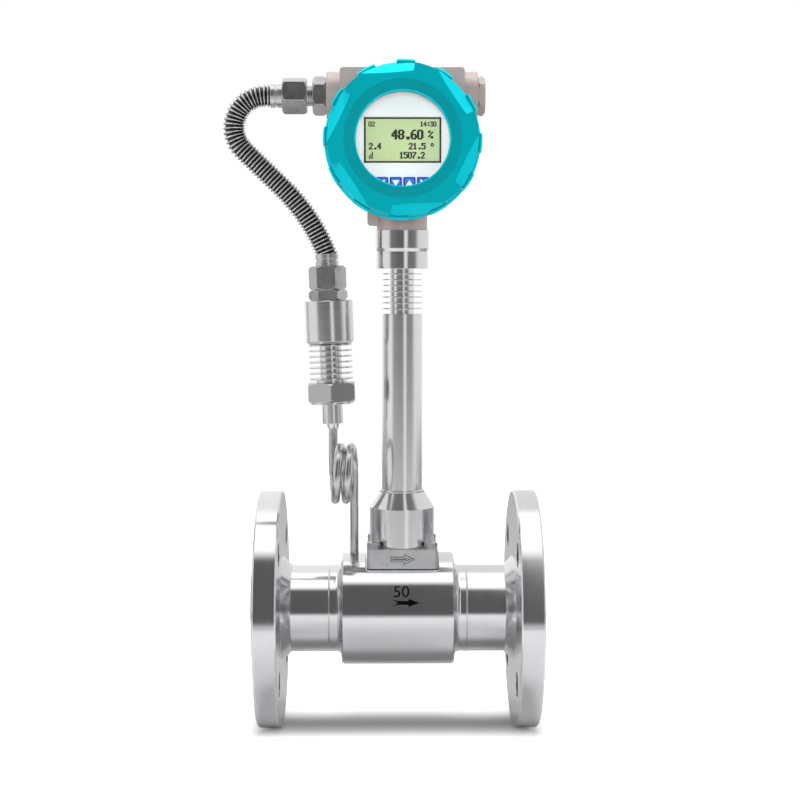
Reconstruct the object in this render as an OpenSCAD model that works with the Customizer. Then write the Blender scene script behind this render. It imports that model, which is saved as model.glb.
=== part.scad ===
// Vortex flow meter: flanged flow tube, finned stem, display head and a pressure cell on a coiled siphon.
// Millimetres. +X runs with the flow, +Z up the stem, and the display faces -Y.
// The origin is the centre of the inlet flange's bolt plane.

/* [Flow tube] */
// Distance between the two sealing faces
face_to_face = 199; // [190:1:240]
// Diameter of the flow bore
bore_d = 50; // [42:1:52]
// Outside diameter of the neck pipes
pipe_d = 60.3; // [57:0.1:66]
// Outside diameter of the meter body
body_d = 78; // [74:1:90]
// Length of the meter body between its end faces
body_len = 78; // [76:1:90]
// Length of the turned stub at each end of the body
stub_len = 8; // [6:0.5:12]
// Fillet between stub and end face
stub_fillet = 4; // [2:0.5:5]
// Chamfer on the rims of the body
body_edge = 1.2; // [0.5:0.1:2]
// Radius of the weld bead between pipe and stub
bead_r = 1; // [0.5:0.1:1.5]

/* [Flanges] */
// Outside diameter of the flanges
flange_d = 165; // [155:1:190]
// Thickness of the flange rim
rim_t = 16; // [12:0.5:22]
// Diameter of the raised sealing face
raised_d = 102; // [90:1:104]
// Height of the raised sealing face
raised_t = 3; // [1:0.5:4]
// Bolt circle diameter
bolt_circle = 125; // [124:1:135]
// Bolt hole diameter
bolt_hole_d = 18; // [14:0.5:19]
// Number of bolt holes
bolt_count = 4; // [4, 8]
// Length and rise of the hub's cone, from the rim to the pipe
hub_cone = 6.5; // [4:0.5:9]
// Chamfer on the rim edges
rim_edge = 1; // [0.5:0.1:2]

/* [Vortex sensor] */
// Distance of the stem downstream of the body's middle
stem_offset = 3; // [0:0.5:5]
// Depth of the milled seat below the top of the body
seat_drop = 8; // [5:0.5:9]
// Thickness of the gasket on the seat
gasket_t = 0.8; // [0.5:0.1:2]
// Distance from the base bolts to the sides of the sensor base
base_edge = 4.75; // [4.7:0.05:6]
// Height of the sensor base
base_h = 13.2; // [10:0.1:16]
// Spacing of the base bolts
base_bolt_pitch = 39.5; // [38.5:0.1:42]
// Thread diameter of the base bolts
base_bolt_d = 5; // [4:0.5:5]
// Head width of the base bolts across flats
base_bolt_af = 8; // [7:0.5:9]
// Diameter of the washers under the base bolts
base_washer_d = 9.2; // [8:0.1:9.6]
// Head height of the base bolts
base_bolt_head = 3.6; // [3:0.1:5]
// Depth of the base bolts in the body
base_bolt_depth = 9; // [6:0.5:11]
// Diameter of the probe stem
probe_d = 19; // [16:0.5:22]
// Diameter of the probe flange
probe_flange_d = 32; // [28:0.5:34]
// Thickness of the probe flange
probe_flange_t = 3; // [2:0.5:5]
// Diameter of the probe's upper stub
probe_stub_d = 12; // [8:0.5:14]
// Thickness of the probe's paddle
paddle_t = 3; // [2:0.5:5]
// Width of the probe's paddle along the flow
paddle_w = 12; // [8:0.5:15]
// Reach of the paddle below the pipe axis
paddle_reach = 12; // [0:1:18]
// Width of the shedder bar's upstream face
shedder_w = 14; // [10:0.5:16]
// Width of the shedder bar's downstream edge
shedder_tail_w = 5; // [3:0.5:7]
// Length of the shedder bar along the flow
shedder_len = 18; // [12:0.5:20]
// Gap between the shedder bar and the paddle
shedder_gap = 5; // [3:0.5:7]

/* [Stem] */
// Diameter of the bonnet
bonnet_d = 44.8; // [38:0.2:45]
// Height of the straight part of the bonnet
bonnet_h = 26.9; // [16:0.1:40]
// Height of the bonnet's cone
bonnet_cone_h = 11.9; // [8:0.1:20]
// Diameter of the bonnet's top
bonnet_top_d = 31.6; // [31:0.1:34]
// Bore of the bonnet
bonnet_bore = 16; // [15:0.5:20]
// Outside diameter of the stem
stem_d = 28; // [26:0.5:29]
// Length of the plain part of the stem above the bonnet
stem_len = 122.6; // [60:0.2:160]
// Bore of the stem
stem_bore = 9; // [6:0.5:11]
// Number of cooling fins on the stem
stem_fins = 7; // [3:1:12]
// Distance from fin to fin
stem_fin_pitch = 4; // [3:0.05:5]
// Thickness of a stem fin
stem_fin_t = 0.8; // [0.5:0.1:1.5]
// Diameter of the stem between the fins
stem_core_d = 16.7; // [14:0.1:22]
// Diameter of the collar's lower part
collar_low_d = 35.7; // [33:0.1:38]
// Height of the collar's lower part
collar_low_h = 11.6; // [10:0.1:16]
// Height of the collar's bevel
collar_bevel_h = 2.2; // [1:0.1:4]
// Diameter of the collar's upper part
collar_top_d = 37; // [36:0.1:40]
// Height of the collar's upper part
collar_top_h = 12.3; // [10:0.1:18]
// Diameter of the stem's screwed end in the collar
stem_thread_d = 20; // [16:0.5:22]
// Length of the stem's screwed end
stem_thread_len = 9; // [6:0.5:10]
// Diameter of the probe lead
lead_d = 4; // [3:0.5:5]

/* [Head housing] */
// Height of the head's axis above the collar
neck_len = 59; // [58:0.5:75]
// Diameter of the housing's neck
neck_d = 34.8; // [32:0.2:36]
// Diameter of the neck's screwed end in the collar
neck_thread_d = 24; // [20:0.5:26]
// Length of the neck's screwed end
neck_thread_len = 8; // [6:0.5:10]
// Wire hole in the neck
neck_bore = 12; // [8:0.5:14]
// Radius of the barrel
barrel_r = 46; // [45.5:0.5:48]
// Half length of the barrel, to the shoulders that the covers meet
barrel_half = 24; // [22:0.5:28]
// Radius of the shoulders
shoulder_r = 48.5; // [48:0.5:49.5]
// Width of the shoulders
shoulder_w = 4; // [3:0.5:5]
// Radius of the two threaded spigots
spigot_r = 45.5; // [44.5:0.1:46]
// Length of the two threaded spigots
spigot_len = 12; // [10:0.5:14]
// Radius of the two chambers
chamber_r = 41; // [40.5:0.1:42]
// Thickness of the wall between the chambers
partition_t = 4; // [3:0.5:6]
// Distance of the wall behind the stem axis
partition_back = 4; // [3:0.5:5]
// Width of the conduit block
block_w = 84.5; // [80:0.5:90]
// Top of the conduit block above the head's axis
block_top = 50.5; // [50:0.5:56]
// Half depth of the conduit block
block_half = 18; // [17:0.5:20]
// Corner radius of the conduit block
block_corner = 2; // [1:0.5:4]
// Height of the conduit entries above the head's axis
conduit_z = 33; // [31:0.5:34]
// Diameter of the conduit bosses
conduit_boss_d = 33; // [30:0.5:33]
// Length of the conduit bosses beyond the block
conduit_boss_len = 9.5; // [6:0.5:12]
// Thread diameter of the conduit entries
conduit_d = 18; // [14:0.5:20]
// Width of the lock screw's boss
lock_boss_w = 12; // [10:0.5:14]
// Length of the lock screw's boss below the head's axis
lock_boss_drop = 55.5; // [54:0.5:57]
// Diameter of the lock screw
lock_screw_d = 4; // [3:0.5:5]
// Length of the lock screw
lock_screw_len = 8; // [6:0.5:10]

/* [Covers] */
// Radius of the front cover over its rim
cover_rim_r = 52.5; // [52:0.1:55]
// Radius of the front cover between its lugs
cover_r = 50.2; // [49.5:0.1:51]
// Radius of the front cover over its lugs
lug_r = 52.9; // [52:0.1:55]
// Number of lugs on each cover
lug_count = 12; // [6, 8, 12]
// Angle that a lug covers at its top
lug_angle = 12.6; // [8:0.2:16]
// Turn of the first lug from the upright
lug_turn = -2.4; // [-15:0.2:15]
// Depth of the front cover
cover_depth = 29.7; // [28:0.1:36]
// Depth of the rear cover
rear_depth = 21.7; // [18:0.1:26]
// How much the rear cover is smaller in radius
rear_step = 2.4; // [1:0.1:2.6]
// Radius of the window opening
window_r = 31; // [28:0.5:33]
// Radius of the glass
glass_r = 35.7; // [34.5:0.1:38]
// Thickness of the glass
glass_t = 8; // [5:0.5:9]
// Depth of the lip in front of the glass
lip_t = 6; // [4:0.5:8]
// Thickness of the ring that holds the glass
glass_ring_t = 2.4; // [1.5:0.1:3]
// Radius of the crease on the front cover's face
crease_r = 39; // [36:0.5:42]
// How far the face falls from the crease to the edge
face_fall = 2.4; // [1:0.1:4]
// Number of slanting finger flats round the face
swirl_count = 6; // [4, 6]
// Angle that a finger flat covers
swirl_angle = 42; // [30:1:44]
// Angle of the first finger flat's step
swirl_turn = 20.9; // [0:0.1:60]
// Width of a finger flat at its step
swirl_w = 5.5; // [3:0.1:7]
// Depth of a finger flat at its step
swirl_h = 6; // [3:0.1:8]
// Thickness of the cover seals
seal_t = 1.8; // [1.2:0.1:2]

/* [Display] */
// Radius of the display plate
plate_r = 40; // [38:0.5:40.2]
// Thickness of the display plate
plate_t = 1.5; // [1:0.1:2]
// Width of the display frame
lcd_w = 51.3; // [44:0.1:54]
// Height of the display frame
lcd_h = 30; // [24:0.1:32]
// Border of the display frame
lcd_border = 1; // [0.6:0.1:2]
// Side of a key
key_w = 7.7; // [6:0.1:8]
// Distance from key to key
key_pitch = 9.1; // [9:0.05:9.6]
// Distance of the keys below the head's axis
key_drop = 28.4; // [27:0.1:29]
// Height of a key above the plate
key_proud = 1; // [0.5:0.1:1.2]
// Travel of a key
key_travel = 0.5; // [0.3:0.05:0.8]
// Radius of the circuit boards
board_r = 38.5; // [37.5:0.5:39.5]
// Thickness of the circuit boards
board_t = 1.6; // [1:0.1:2]
// Distance from the display board to the plate
board_gap = 5; // [4.5:0.1:6]
// Distance of the amplifier board in front of the stem axis
amplifier_z = 10; // [8:0.5:13]
// Diameter of the board spacers
spacer_d = 6; // [4:0.5:7]
// Spacing of the spacers across the head
spacer_x = 50; // [46:1:50]
// Spacing of the spacers up the head
spacer_y = 50; // [46:1:50]
// Width of the terminal block
terminal_w = 54; // [40:1:60]
// Height of the terminal block
terminal_h = 15; // [12:0.5:20]
// Depth of the terminal block
terminal_t = 14; // [10:0.5:16]
// Number of terminals
terminal_count = 6; // [3:1:8]

/* [Pressure fittings] */
// Width of the hose nuts across flats
nut_af = 22.5; // [21:0.5:26]
// Width of the hexes that take the hose nuts, across flats
adapter_af = 23.2; // [22:0.1:26]
// Length of the upper hose nut
upper_nut_len = 16.8; // [14:0.2:20]
// Length of the lower hose nut
lower_nut_len = 16.4; // [14:0.2:20]
// Length of the adapter's hex on the conduit boss
adapter_len = 9.4; // [7:0.2:12]
// Visible length of the adapter's thread
adapter_gap = 4; // [2:0.2:6]
// Thread diameter between adapter and nut
adapter_thread_d = 13.5; // [12:0.1:16]
// Diameter of the ferrules on the hose
ferrule_d = 16; // [15:0.1:18]
// Visible length of the ferrules
ferrule_len = 8.3; // [6:0.1:11]
// Diameter of the ferrules inside the nuts
ferrule_tail_d = 11; // [9:0.1:11.5]
// Outside diameter of the hose
hose_d = 15.6; // [14:0.2:16]
// Straight length of the hose at the upper ferrule
hose_lead = 3.5; // [1:0.5:8]
// Radius of the hose's upper bend
upper_bend = 21.5; // [18:0.5:24]
// Radius of the hose's lower bend
lower_bend = 135; // [100:5:140]
// Lean of the hose at the lower ferrule, in degrees
hose_lean = 22; // [18:1:26]
// Width of the blanking plug across flats
plug_af = 23.5; // [20:0.5:27]
// Thickness of the blanking plug's head
plug_len = 5; // [4:0.2:8]
// Length of the threads in the conduit bosses
conduit_thread_len = 12; // [8:0.5:14]

/* [Pressure cell] */
// Lean of the pressure cell towards the inlet, in degrees
cell_tilt = 2; // [0:0.5:3]
// Distance of the siphon's upper end upstream of the pressure tap
cell_lead = 14.6; // [12:0.2:16]
// Height of the siphon's upper end above the coil's middle
cell_rise = 29.7; // [24:0.1:40]
// Diameter of the nipple on the siphon
nipple_d = 14.4; // [12:0.2:18]
// Height of the nipple
nipple_h = 13.8; // [8:0.2:18]
// Height of the nipple's cone
nipple_cone_h = 3.6; // [2:0.2:6]
// Width of the cell's hex across flats
cell_af = 32; // [28:0.5:36]
// Height of the cell's hex
cell_hex_h = 13; // [10:0.2:18]
// Thickness of the disc under the hex
cell_disc_t = 1.6; // [1:0.1:3]
// Diameter of the shoulder above the hex
cell_shoulder_d = 21.3; // [18:0.1:26]
// Height of the shoulder above the hex
cell_shoulder_h = 2; // [1:0.1:5]
// Diameter of the cell between its fins
cell_core_d = 15; // [12:0.2:20]
// Diameter of the cell's fins
cell_fin_d = 30.4; // [26:0.2:32]
// Number of the cell's fins
cell_fins = 7; // [3:1:9]
// Distance from fin to fin on the cell
cell_fin_pitch = 3.9; // [3:0.05:5]
// Thickness of a cell fin
cell_fin_t = 1; // [0.6:0.1:1.5]
// Diameter of the cell's casing
casing_d = 33.4; // [32:0.2:38]
// Height of the cell's casing
casing_h = 30; // [24:0.2:40]
// Wall of the cell's casing
casing_wall = 3; // [2:0.1:4]
// Chamfer round the foot of the casing
casing_edge = 2; // [1:0.1:2.5]
// Height of the thin hex on the casing
cap_hex_h = 7.3; // [5:0.1:10]

/* [Siphon] */
// Diameter of the siphon tube
siphon_d = 6; // [5:0.5:7]
// Radius of the siphon's coil, to the middle of the tube
coil_r = 18; // [15:0.5:20]
// Height of the coil's middle above the top of the body
coil_rise = 58; // [40:0.5:66]
// Number of turns in the coil
coil_turns = 2; // [1:1:2]
// Distance of the pressure tap from the inlet end of the body
tap_inset = 8.7; // [7:0.1:10]
// Depth of the siphon's end in the body
tap_depth = 5; // [3:0.5:7]
// Diameter of the hole under the siphon
tap_d = 4; // [3:0.5:4.5]

/* [Hidden] */
$fn = 72;

// Clearance between pieces that move on each other
run_gap = 0.3;
// Clearance between pieces that are fixed in each other
fit_gap = 0.15;
// Overlap that makes cuts and joins clean
over = 1;

// Colours
polished = [0.80, 0.81, 0.82];
brushed = [0.72, 0.73, 0.74];
dull_steel = [0.55, 0.56, 0.57];
cast_grey = [0.60, 0.60, 0.60];
graphite = [0.15, 0.15, 0.16];
taupe = [0.65, 0.60, 0.58];
teal = [0.00, 0.63, 0.68];
white = [0.95, 0.95, 0.95];
black = [0.06, 0.06, 0.07];
lcd_green = [0.82, 0.89, 0.66];
key_blue = [0.10, 0.36, 0.78];
board_green = [0.10, 0.36, 0.22];
brass = [0.78, 0.62, 0.30];
clear = [0.85, 0.92, 0.92, 0.35];

// Flow tube, measured along X from the bolt plane of the inlet flange
outlet_plane = face_to_face - 2 * raised_t;
middle_x = outlet_plane / 2;
hub_end = rim_t + hub_cone;
stub_start = middle_x - body_len / 2 - stub_len;
stem_x = middle_x + stem_offset;

// Vortex sensor, measured up Z from the pipe axis
seat_z = body_d / 2 - seat_drop;
base_w = base_bolt_pitch + 2 * base_edge;
seat_gap = 0.75;
seat_w = base_w + 2 * seat_gap;
base_z = seat_z + gasket_t;
base_top = base_z + base_h;
base_corner = 3;
arrow_len = 15;
arrow_h = 6.2;
arrow_head = 6;
arrow_shaft = 2.8;
arrow_line = 0.8;
arrow_proud = 0.7;
bolt_washer_t = 0.8;
bolt_chamfer = 0.6;
probe_stub_rise = 2;
probe_stub_top = base_top + probe_stub_rise;
paddle_x = stem_x - paddle_w / 2;
shedder_x = paddle_x - shedder_gap - shedder_len;

// Stem
bonnet_top = base_top + bonnet_h + bonnet_cone_h;
bonnet_lip = 1.2;
stem_seat = 2;
fin_zone = stem_fins * stem_fin_pitch + stem_fin_pitch - stem_fin_t;
fin_start = bonnet_top + stem_len;
collar_z = fin_start + fin_zone;
collar_top = collar_z + collar_low_h + collar_bevel_h + collar_top_h;
head_z = collar_top + neck_len;

// Head, measured towards the viewer from the stem axis
chamber_floor = -partition_back;
rear_floor = -partition_back - partition_t;
spigot_end = barrel_half + spigot_len;
cover_back = barrel_half + run_gap;
cover_front = cover_back + cover_depth;
cover_bore_r = spigot_r + run_gap;
glass_front = cover_front - lip_t;
glass_back = glass_front - glass_t;
glass_seat_r = glass_r + fit_gap;
cover_floor = glass_back - glass_ring_t;
seal_groove = seal_t + 2 * run_gap;
seal_r = cover_bore_r + seal_t / 2;
lug_start = 4;
lug_len = 16;
lug_taper = 1.2;
rim_w = 4.6;
rim_slope = 1.6;
rim_edge_w = 0.8;
boss_lip = 1.2;
ring_back = 0.5;
lock_boss_out = 2.4;
lock_boss_x = neck_d / 2 + lock_boss_out;
lock_boss_half = 4;

// Display, measured towards the viewer from the stem axis
plate_front = spigot_end;
plate_back = plate_front - plate_t;
board_front = plate_back - board_gap;
board_back = board_front - board_t;
lcd_proud = 0.5;
lcd_front = plate_front + lcd_proud;
key_flange_t = 0.7;
key_flange_lip = 0.9;
key_flange_h = key_w + 2 * key_flange_lip;
key_back = plate_back - run_gap - key_flange_t;
switch_front = key_back - key_travel - run_gap;
key_corner = 0.8;
connector_w = 9;
connector_back = 7;
connector_y = chamber_r - connector_back;
connector_h = 6;

// Fittings, measured from the stem axis to the left and right
boss_end = block_w / 2 + conduit_boss_len;
adapter_end = boss_end + adapter_len;
nut_start = adapter_end + adapter_gap;
nut_end = nut_start + upper_nut_len;
ferrule_end = nut_end + ferrule_len;
tail_len = 5;
thread_reach = 8;
wire_d = 8;
nut_chamfer = 1.7;

// Siphon and pressure cell, measured up the cell's own axis from the siphon's end
tap_x = middle_x - body_len / 2 + tap_inset;
cell_x = tap_x - cell_lead;
coil_z = body_d / 2 + coil_rise;
cell_z = coil_z + cell_rise;
nipple_top = nipple_cone_h + nipple_h;
hex_top = nipple_top + cell_disc_t + cell_hex_h;
cell_fin_start = hex_top + cell_shoulder_h;
cell_fin_lead = 0.3;
cell_fin_zone = (cell_fins - 1) * cell_fin_pitch + cell_fin_t + 2 * cell_fin_lead;
casing_z = cell_fin_start + cell_fin_zone;
casing_top = casing_z + casing_h;
lower_nut_z = casing_top + cap_hex_h;
lower_nut_top = lower_nut_z + lower_nut_len;

// Route of the hose in X and Z: a lead, a bend, the straight that touches both bends, and a wide bend
ferrule_top = lower_nut_top + ferrule_len + fit_gap;
hose_start = [stem_x - ferrule_end - fit_gap, head_z + conduit_z];
hose_end = [cell_x - ferrule_top * sin(cell_tilt), cell_z + ferrule_top * cos(cell_tilt)];
end_course = hose_lean - 90;
upper_centre = hose_start - [hose_lead, upper_bend];
lower_centre = hose_end + lower_bend * [sin(end_course), -cos(end_course)];
between = lower_centre - upper_centre;
straight_course = atan2(between[1], between[0]) + asin((upper_bend + lower_bend) / norm(between));
upper_steps = 13;
lower_steps = 5;
hose_route = concat([hose_start],
    [for (i = [0:upper_steps]) let (course = 180 + (180 + straight_course) * i / upper_steps)
        upper_centre + upper_bend * [sin(course), -cos(course)]],
    [for (i = [0:lower_steps])
        let (course = straight_course + (end_course - straight_course) * i / lower_steps)
        lower_centre + lower_bend * [-sin(course), cos(course)]]);
hose_sides = 12;

// Steps of the swept siphon
siphon_sides = 12;
coil_steps = 24;

// Directions and sweeps
function unit(v) = v / norm(v);
function tangent(path, i) = unit(path[min(i + 1, len(path) - 1)] - path[max(i - 1, 0)]);
function ring(centre, along, across, r, sides) = let (u = unit(cross(across, along)), w = cross(along, u))
    [for (k = [0:sides - 1]) centre + r * (cos(360 * k / sides) * u + sin(360 * k / sides) * w)];

// A closed tube round the points of a path. Across is a direction that the path never takes.
module swept_tube(path, along, across, r, sides) {
    rings = len(path);
    points = [for (i = [0:rings - 1]) each ring(path[i], along[i], across, r, sides)];
    walls = [for (i = [0:rings - 2], k = [0:sides - 1])
        let (next = (k + 1) % sides)
        [i * sides + k, (i + 1) * sides + k, (i + 1) * sides + next, i * sides + next]];
    first_cap = [for (k = [0:sides - 1]) k];
    last_cap = [for (k = [sides - 1:-1:0]) (rings - 1) * sides + k];
    polyhedron(points, concat(walls, [first_cap, last_cap]), convexity = 6);
}

// Placing: turned parts are drawn along +Z and then laid where they belong
module along_x(x) {
    translate([x, 0, 0]) rotate([0, 90, 0]) children();
}

// Local X is right, local Y is up and local Z points to the viewer
module in_head() {
    translate([stem_x, 0, head_z]) rotate([90, 0, 0]) children();
}

module at_stem(z) {
    translate([stem_x, 0, z]) children();
}

// Side is -1 at the left conduit entry and 1 at the right one; +Z points outwards
module at_conduit(side, distance) {
    translate([stem_x + side * distance, 0, head_z + conduit_z]) rotate([0, side * 90, 0]) children();
}

module at_cell(z) {
    translate([cell_x, 0, cell_z]) rotate([0, -cell_tilt, 0]) translate([0, 0, z]) children();
}

// Shared shapes
module tube(od, id, h) {
    difference() {
        cylinder(d = od, h = h);
        translate([0, 0, -over]) cylinder(d = id, h = h + 2 * over);
    }
}

module rounded_square(w, h, r) {
    square([w - 2 * r, h], center = true);
    square([w, h - 2 * r], center = true);
    for (x = [-1, 1], y = [-1, 1]) translate([x * (w / 2 - r), y * (h / 2 - r)]) circle(r = r);
}

// Hex bar with its corners turned off at both ends
module hex_bar(af, h, chamfer) {
    corner_r = af / 2 / cos(30);
    intersection() {
        cylinder(r = corner_r, h = h, $fn = 6);
        rotate_extrude() polygon([[0, 0], [corner_r - chamfer, 0], [corner_r, chamfer],
            [corner_r, h - chamfer], [corner_r - chamfer, h], [0, h]]);
    }
}

// Flow tube

// Half section of a flange, from the sealing face at -raised_t to the end of its hub
module flange_section() {
    difference() {
        union() {
            translate([0, -raised_t]) square([raised_d / 2, raised_t + over]);
            polygon([[0, 0], [flange_d / 2 - rim_edge, 0], [flange_d / 2, rim_edge],
                [flange_d / 2, rim_t - rim_edge], [flange_d / 2 - rim_edge, rim_t], [0, rim_t]]);
            polygon([[0, 0], [pipe_d / 2 + hub_cone, 0], [pipe_d / 2 + hub_cone, rim_t],
                [pipe_d / 2, hub_end], [0, hub_end]]);
        }
        translate([-over, -raised_t - over]) square([bore_d / 2 + over, raised_t + hub_end + 2 * over]);
    }
}

module flange() {
    color(brushed) difference() {
        along_x(0) rotate_extrude($fn = 120) flange_section();
        for (i = [0:bolt_count - 1])
            rotate([(i + 0.5) * 360 / bolt_count, 0, 0])
                translate([0, bolt_circle / 2, 0])
                    along_x(-over) cylinder(d = bolt_hole_d, h = rim_t + 2 * over);
    }
}

module inlet_flange() {
    flange();
}

module outlet_flange() {
    translate([outlet_plane, 0, 0]) mirror([1, 0, 0]) flange();
}

// Neck pipe with the weld bead at the body's stub
module neck_pipe() {
    color(brushed) along_x(hub_end) rotate_extrude() difference() {
        union() {
            square([pipe_d / 2, stub_start - hub_end]);
            intersection() {
                translate([pipe_d / 2 - bead_r / 2, stub_start - hub_end]) circle(r = bead_r);
                square([pipe_d, stub_start - hub_end]);
            }
        }
        translate([-over, -over]) square([bore_d / 2 + over, stub_start + 2 * over]);
    }
}

module inlet_pipe() {
    neck_pipe();
}

module outlet_pipe() {
    translate([outlet_plane, 0, 0]) mirror([1, 0, 0]) neck_pipe();
}

// Half section of the body's turned outside, with its length along Y
module body_section() {
    square([pipe_d / 2, body_len + 2 * stub_len]);
    translate([0, stub_len]) polygon([[0, 0], [body_d / 2 - body_edge, 0], [body_d / 2, body_edge],
        [body_d / 2, body_len - body_edge], [body_d / 2 - body_edge, body_len], [0, body_len]]);
    for (end = [0, 1]) translate([0, stub_len + body_len / 2]) mirror([0, end]) difference() {
        translate([0, body_len / 2 - over]) square([pipe_d / 2 + stub_fillet, stub_fillet + over]);
        translate([pipe_d / 2 + stub_fillet, body_len / 2 + stub_fillet]) circle(r = stub_fillet);
    }
}

module meter_body() {
    color(polished) difference() {
        union() {
            along_x(stub_start) rotate_extrude($fn = 120) body_section();
            at_stem(0) linear_extrude(seat_z) rounded_square(seat_w, seat_w, base_corner);
        }
        along_x(stub_start - over) cylinder(d = bore_d, h = body_len + 2 * stub_len + 2 * over);
        at_stem(seat_z) translate([-seat_w / 2, -body_d, 0]) cube([seat_w, 2 * body_d, body_d]);
        at_stem(0) cylinder(d = probe_d + 2 * fit_gap, h = body_d);
        at_base_bolts(seat_z - base_bolt_depth - over)
            cylinder(d = base_bolt_d + 2 * fit_gap, h = base_bolt_depth + 2 * over);
        translate([tap_x, 0, body_d / 2 - tap_depth]) cylinder(d = siphon_d + 2 * fit_gap, h = body_d);
        translate([tap_x, 0, 0]) cylinder(d = tap_d, h = body_d);
    }
}

// Bar that sheds the vortices, across the bore upstream of the probe
module shedder_bar() {
    land = 2;
    color(brushed) intersection() {
        translate([shedder_x, 0, -bore_d / 2]) linear_extrude(bore_d)
            polygon([[0, -shedder_w / 2], [land, -shedder_w / 2], [shedder_len, -shedder_tail_w / 2],
                [shedder_len, shedder_tail_w / 2], [land, shedder_w / 2], [0, shedder_w / 2]]);
        along_x(shedder_x - over) cylinder(d = bore_d - 2 * fit_gap, h = shedder_len + 2 * over);
    }
}

// Vortex sensor

module at_base_bolts(z) {
    for (x = [-1, 1], y = [-1, 1])
        at_stem(z) translate([x * base_bolt_pitch / 2, y * base_bolt_pitch / 2, 0]) children();
}

module sensor_probe() {
    color(brushed) at_stem(0) {
        translate([0, 0, bore_d / 2 - over]) cylinder(d = probe_d, h = base_z - bore_d / 2 + 2 * over);
        translate([0, 0, base_z]) cylinder(d = probe_flange_d, h = probe_flange_t);
        translate([0, 0, base_z]) cylinder(d = probe_stub_d, h = probe_stub_top - base_z);
        translate([-paddle_w / 2, -paddle_t / 2, -paddle_reach])
            cube([paddle_w, paddle_t, paddle_reach + bore_d / 2]);
    }
}

module base_gasket() {
    color(graphite) difference() {
        at_stem(seat_z) linear_extrude(gasket_t) rounded_square(base_w, base_w, base_corner);
        at_stem(0) cylinder(d = probe_d + 2 * fit_gap, h = body_d);
        at_base_bolts(0) cylinder(d = base_bolt_d + 2 * fit_gap, h = body_d);
    }
}

// Arrow that points down the flow, centred on the origin, and drawn smaller by an inset all round
module arrow_shape(inset) {
    tip = arrow_len / 2 - 2 * inset;
    neck = arrow_len / 2 - arrow_head + inset;
    tail = arrow_len / 2 - inset;
    shaft = arrow_shaft / 2 - inset;
    wing = arrow_h / 2 - 2 * inset;
    polygon([[-tail, -shaft], [neck, -shaft], [neck, -wing], [tip, 0], [neck, wing], [neck, shaft],
        [-tail, shaft]]);
}

module sensor_base() {
    color(cast_grey) difference() {
        union() {
            at_stem(base_z) linear_extrude(base_h) rounded_square(base_w, base_w, base_corner);
            at_stem(base_z + base_h / 2) translate([0, -base_w / 2 + over, 0]) rotate([90, 0, 0])
                linear_extrude(over + arrow_proud) difference() {
                    arrow_shape(0);
                    arrow_shape(arrow_line);
                }
        }
        at_stem(base_z - over) cylinder(d = probe_flange_d + 2 * fit_gap, h = probe_flange_t + over);
        at_stem(base_z - over) cylinder(d = probe_stub_d + 2 * fit_gap, h = base_h + 2 * over);
        at_base_bolts(base_z - over) cylinder(d = base_bolt_d + 2 * fit_gap, h = base_h + 2 * over);
    }
}

module base_bolts() {
    color(dull_steel) at_base_bolts(base_top) {
        cylinder(d = base_washer_d, h = bolt_washer_t);
        translate([0, 0, bolt_washer_t]) hex_bar(base_bolt_af, base_bolt_head, bolt_chamfer);
        reach = base_h + gasket_t + base_bolt_depth;
        translate([0, 0, -reach]) cylinder(d = base_bolt_d, h = reach + over / 2);
    }
}

// Stem

module bonnet() {
    color(polished) at_stem(base_top) difference() {
        rotate_extrude() polygon([[0, 0], [bonnet_d / 2, 0], [bonnet_d / 2, bonnet_h],
            [bonnet_top_d / 2, bonnet_h + bonnet_cone_h - bonnet_lip],
            [bonnet_top_d / 2, bonnet_h + bonnet_cone_h], [0, bonnet_h + bonnet_cone_h]]);
        translate([0, 0, -over]) cylinder(d = bonnet_bore, h = bonnet_h + bonnet_cone_h + 2 * over);
        translate([0, 0, bonnet_h + bonnet_cone_h - stem_seat])
            cylinder(d = stem_d + 2 * fit_gap, h = stem_seat + over);
    }
}

// Stem tube with the cooling fins cut into its upper end
module stem() {
    color(polished) at_stem(0) difference() {
        union() {
            translate([0, 0, bonnet_top - stem_seat]) cylinder(d = stem_d, h = stem_len + stem_seat);
            translate([0, 0, fin_start - over]) cylinder(d = stem_core_d, h = fin_zone + over);
            for (i = [1:stem_fins])
                translate([0, 0, fin_start + i * stem_fin_pitch - stem_fin_t])
                    cylinder(d = stem_d, h = stem_fin_t);
            translate([0, 0, collar_z]) cylinder(d = stem_thread_d, h = stem_thread_len);
            translate([0, 0, collar_z - over]) cylinder(d = stem_core_d, h = 2 * over);
        }
        cylinder(d = stem_bore, h = collar_z + 2 * stem_thread_len);
    }
}

module stem_collar() {
    color(polished) at_stem(collar_z) difference() {
        rotate_extrude() polygon([[0, 0], [collar_low_d / 2, 0], [collar_low_d / 2, collar_low_h],
            [collar_top_d / 2, collar_low_h + collar_bevel_h], [collar_top_d / 2, collar_top - collar_z],
            [0, collar_top - collar_z]]);
        translate([0, 0, -over]) cylinder(d = stem_thread_d + 2 * fit_gap, h = stem_thread_len + over);
        translate([0, 0, -over]) cylinder(d = stem_bore, h = collar_top - collar_z + 2 * over);
        translate([0, 0, collar_top - collar_z - neck_thread_len])
            cylinder(d = neck_thread_d + 2 * fit_gap, h = neck_thread_len + over);
    }
}

// Lead from the probe's stub to the connector on the amplifier board
module probe_lead() {
    color(black) at_stem(probe_stub_top) cylinder(d = lead_d, h = head_z - connector_y - probe_stub_top);
}

// Head housing

// Conduit boss with a rounded lip, drawn outwards from the stem axis
module conduit_boss() {
    rotate_extrude() {
        square([conduit_boss_d / 2, boss_end - boss_lip]);
        square([conduit_boss_d / 2 - boss_lip, boss_end]);
        translate([conduit_boss_d / 2 - boss_lip, boss_end - boss_lip]) circle(r = boss_lip, $fn = 32);
    }
}

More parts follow.
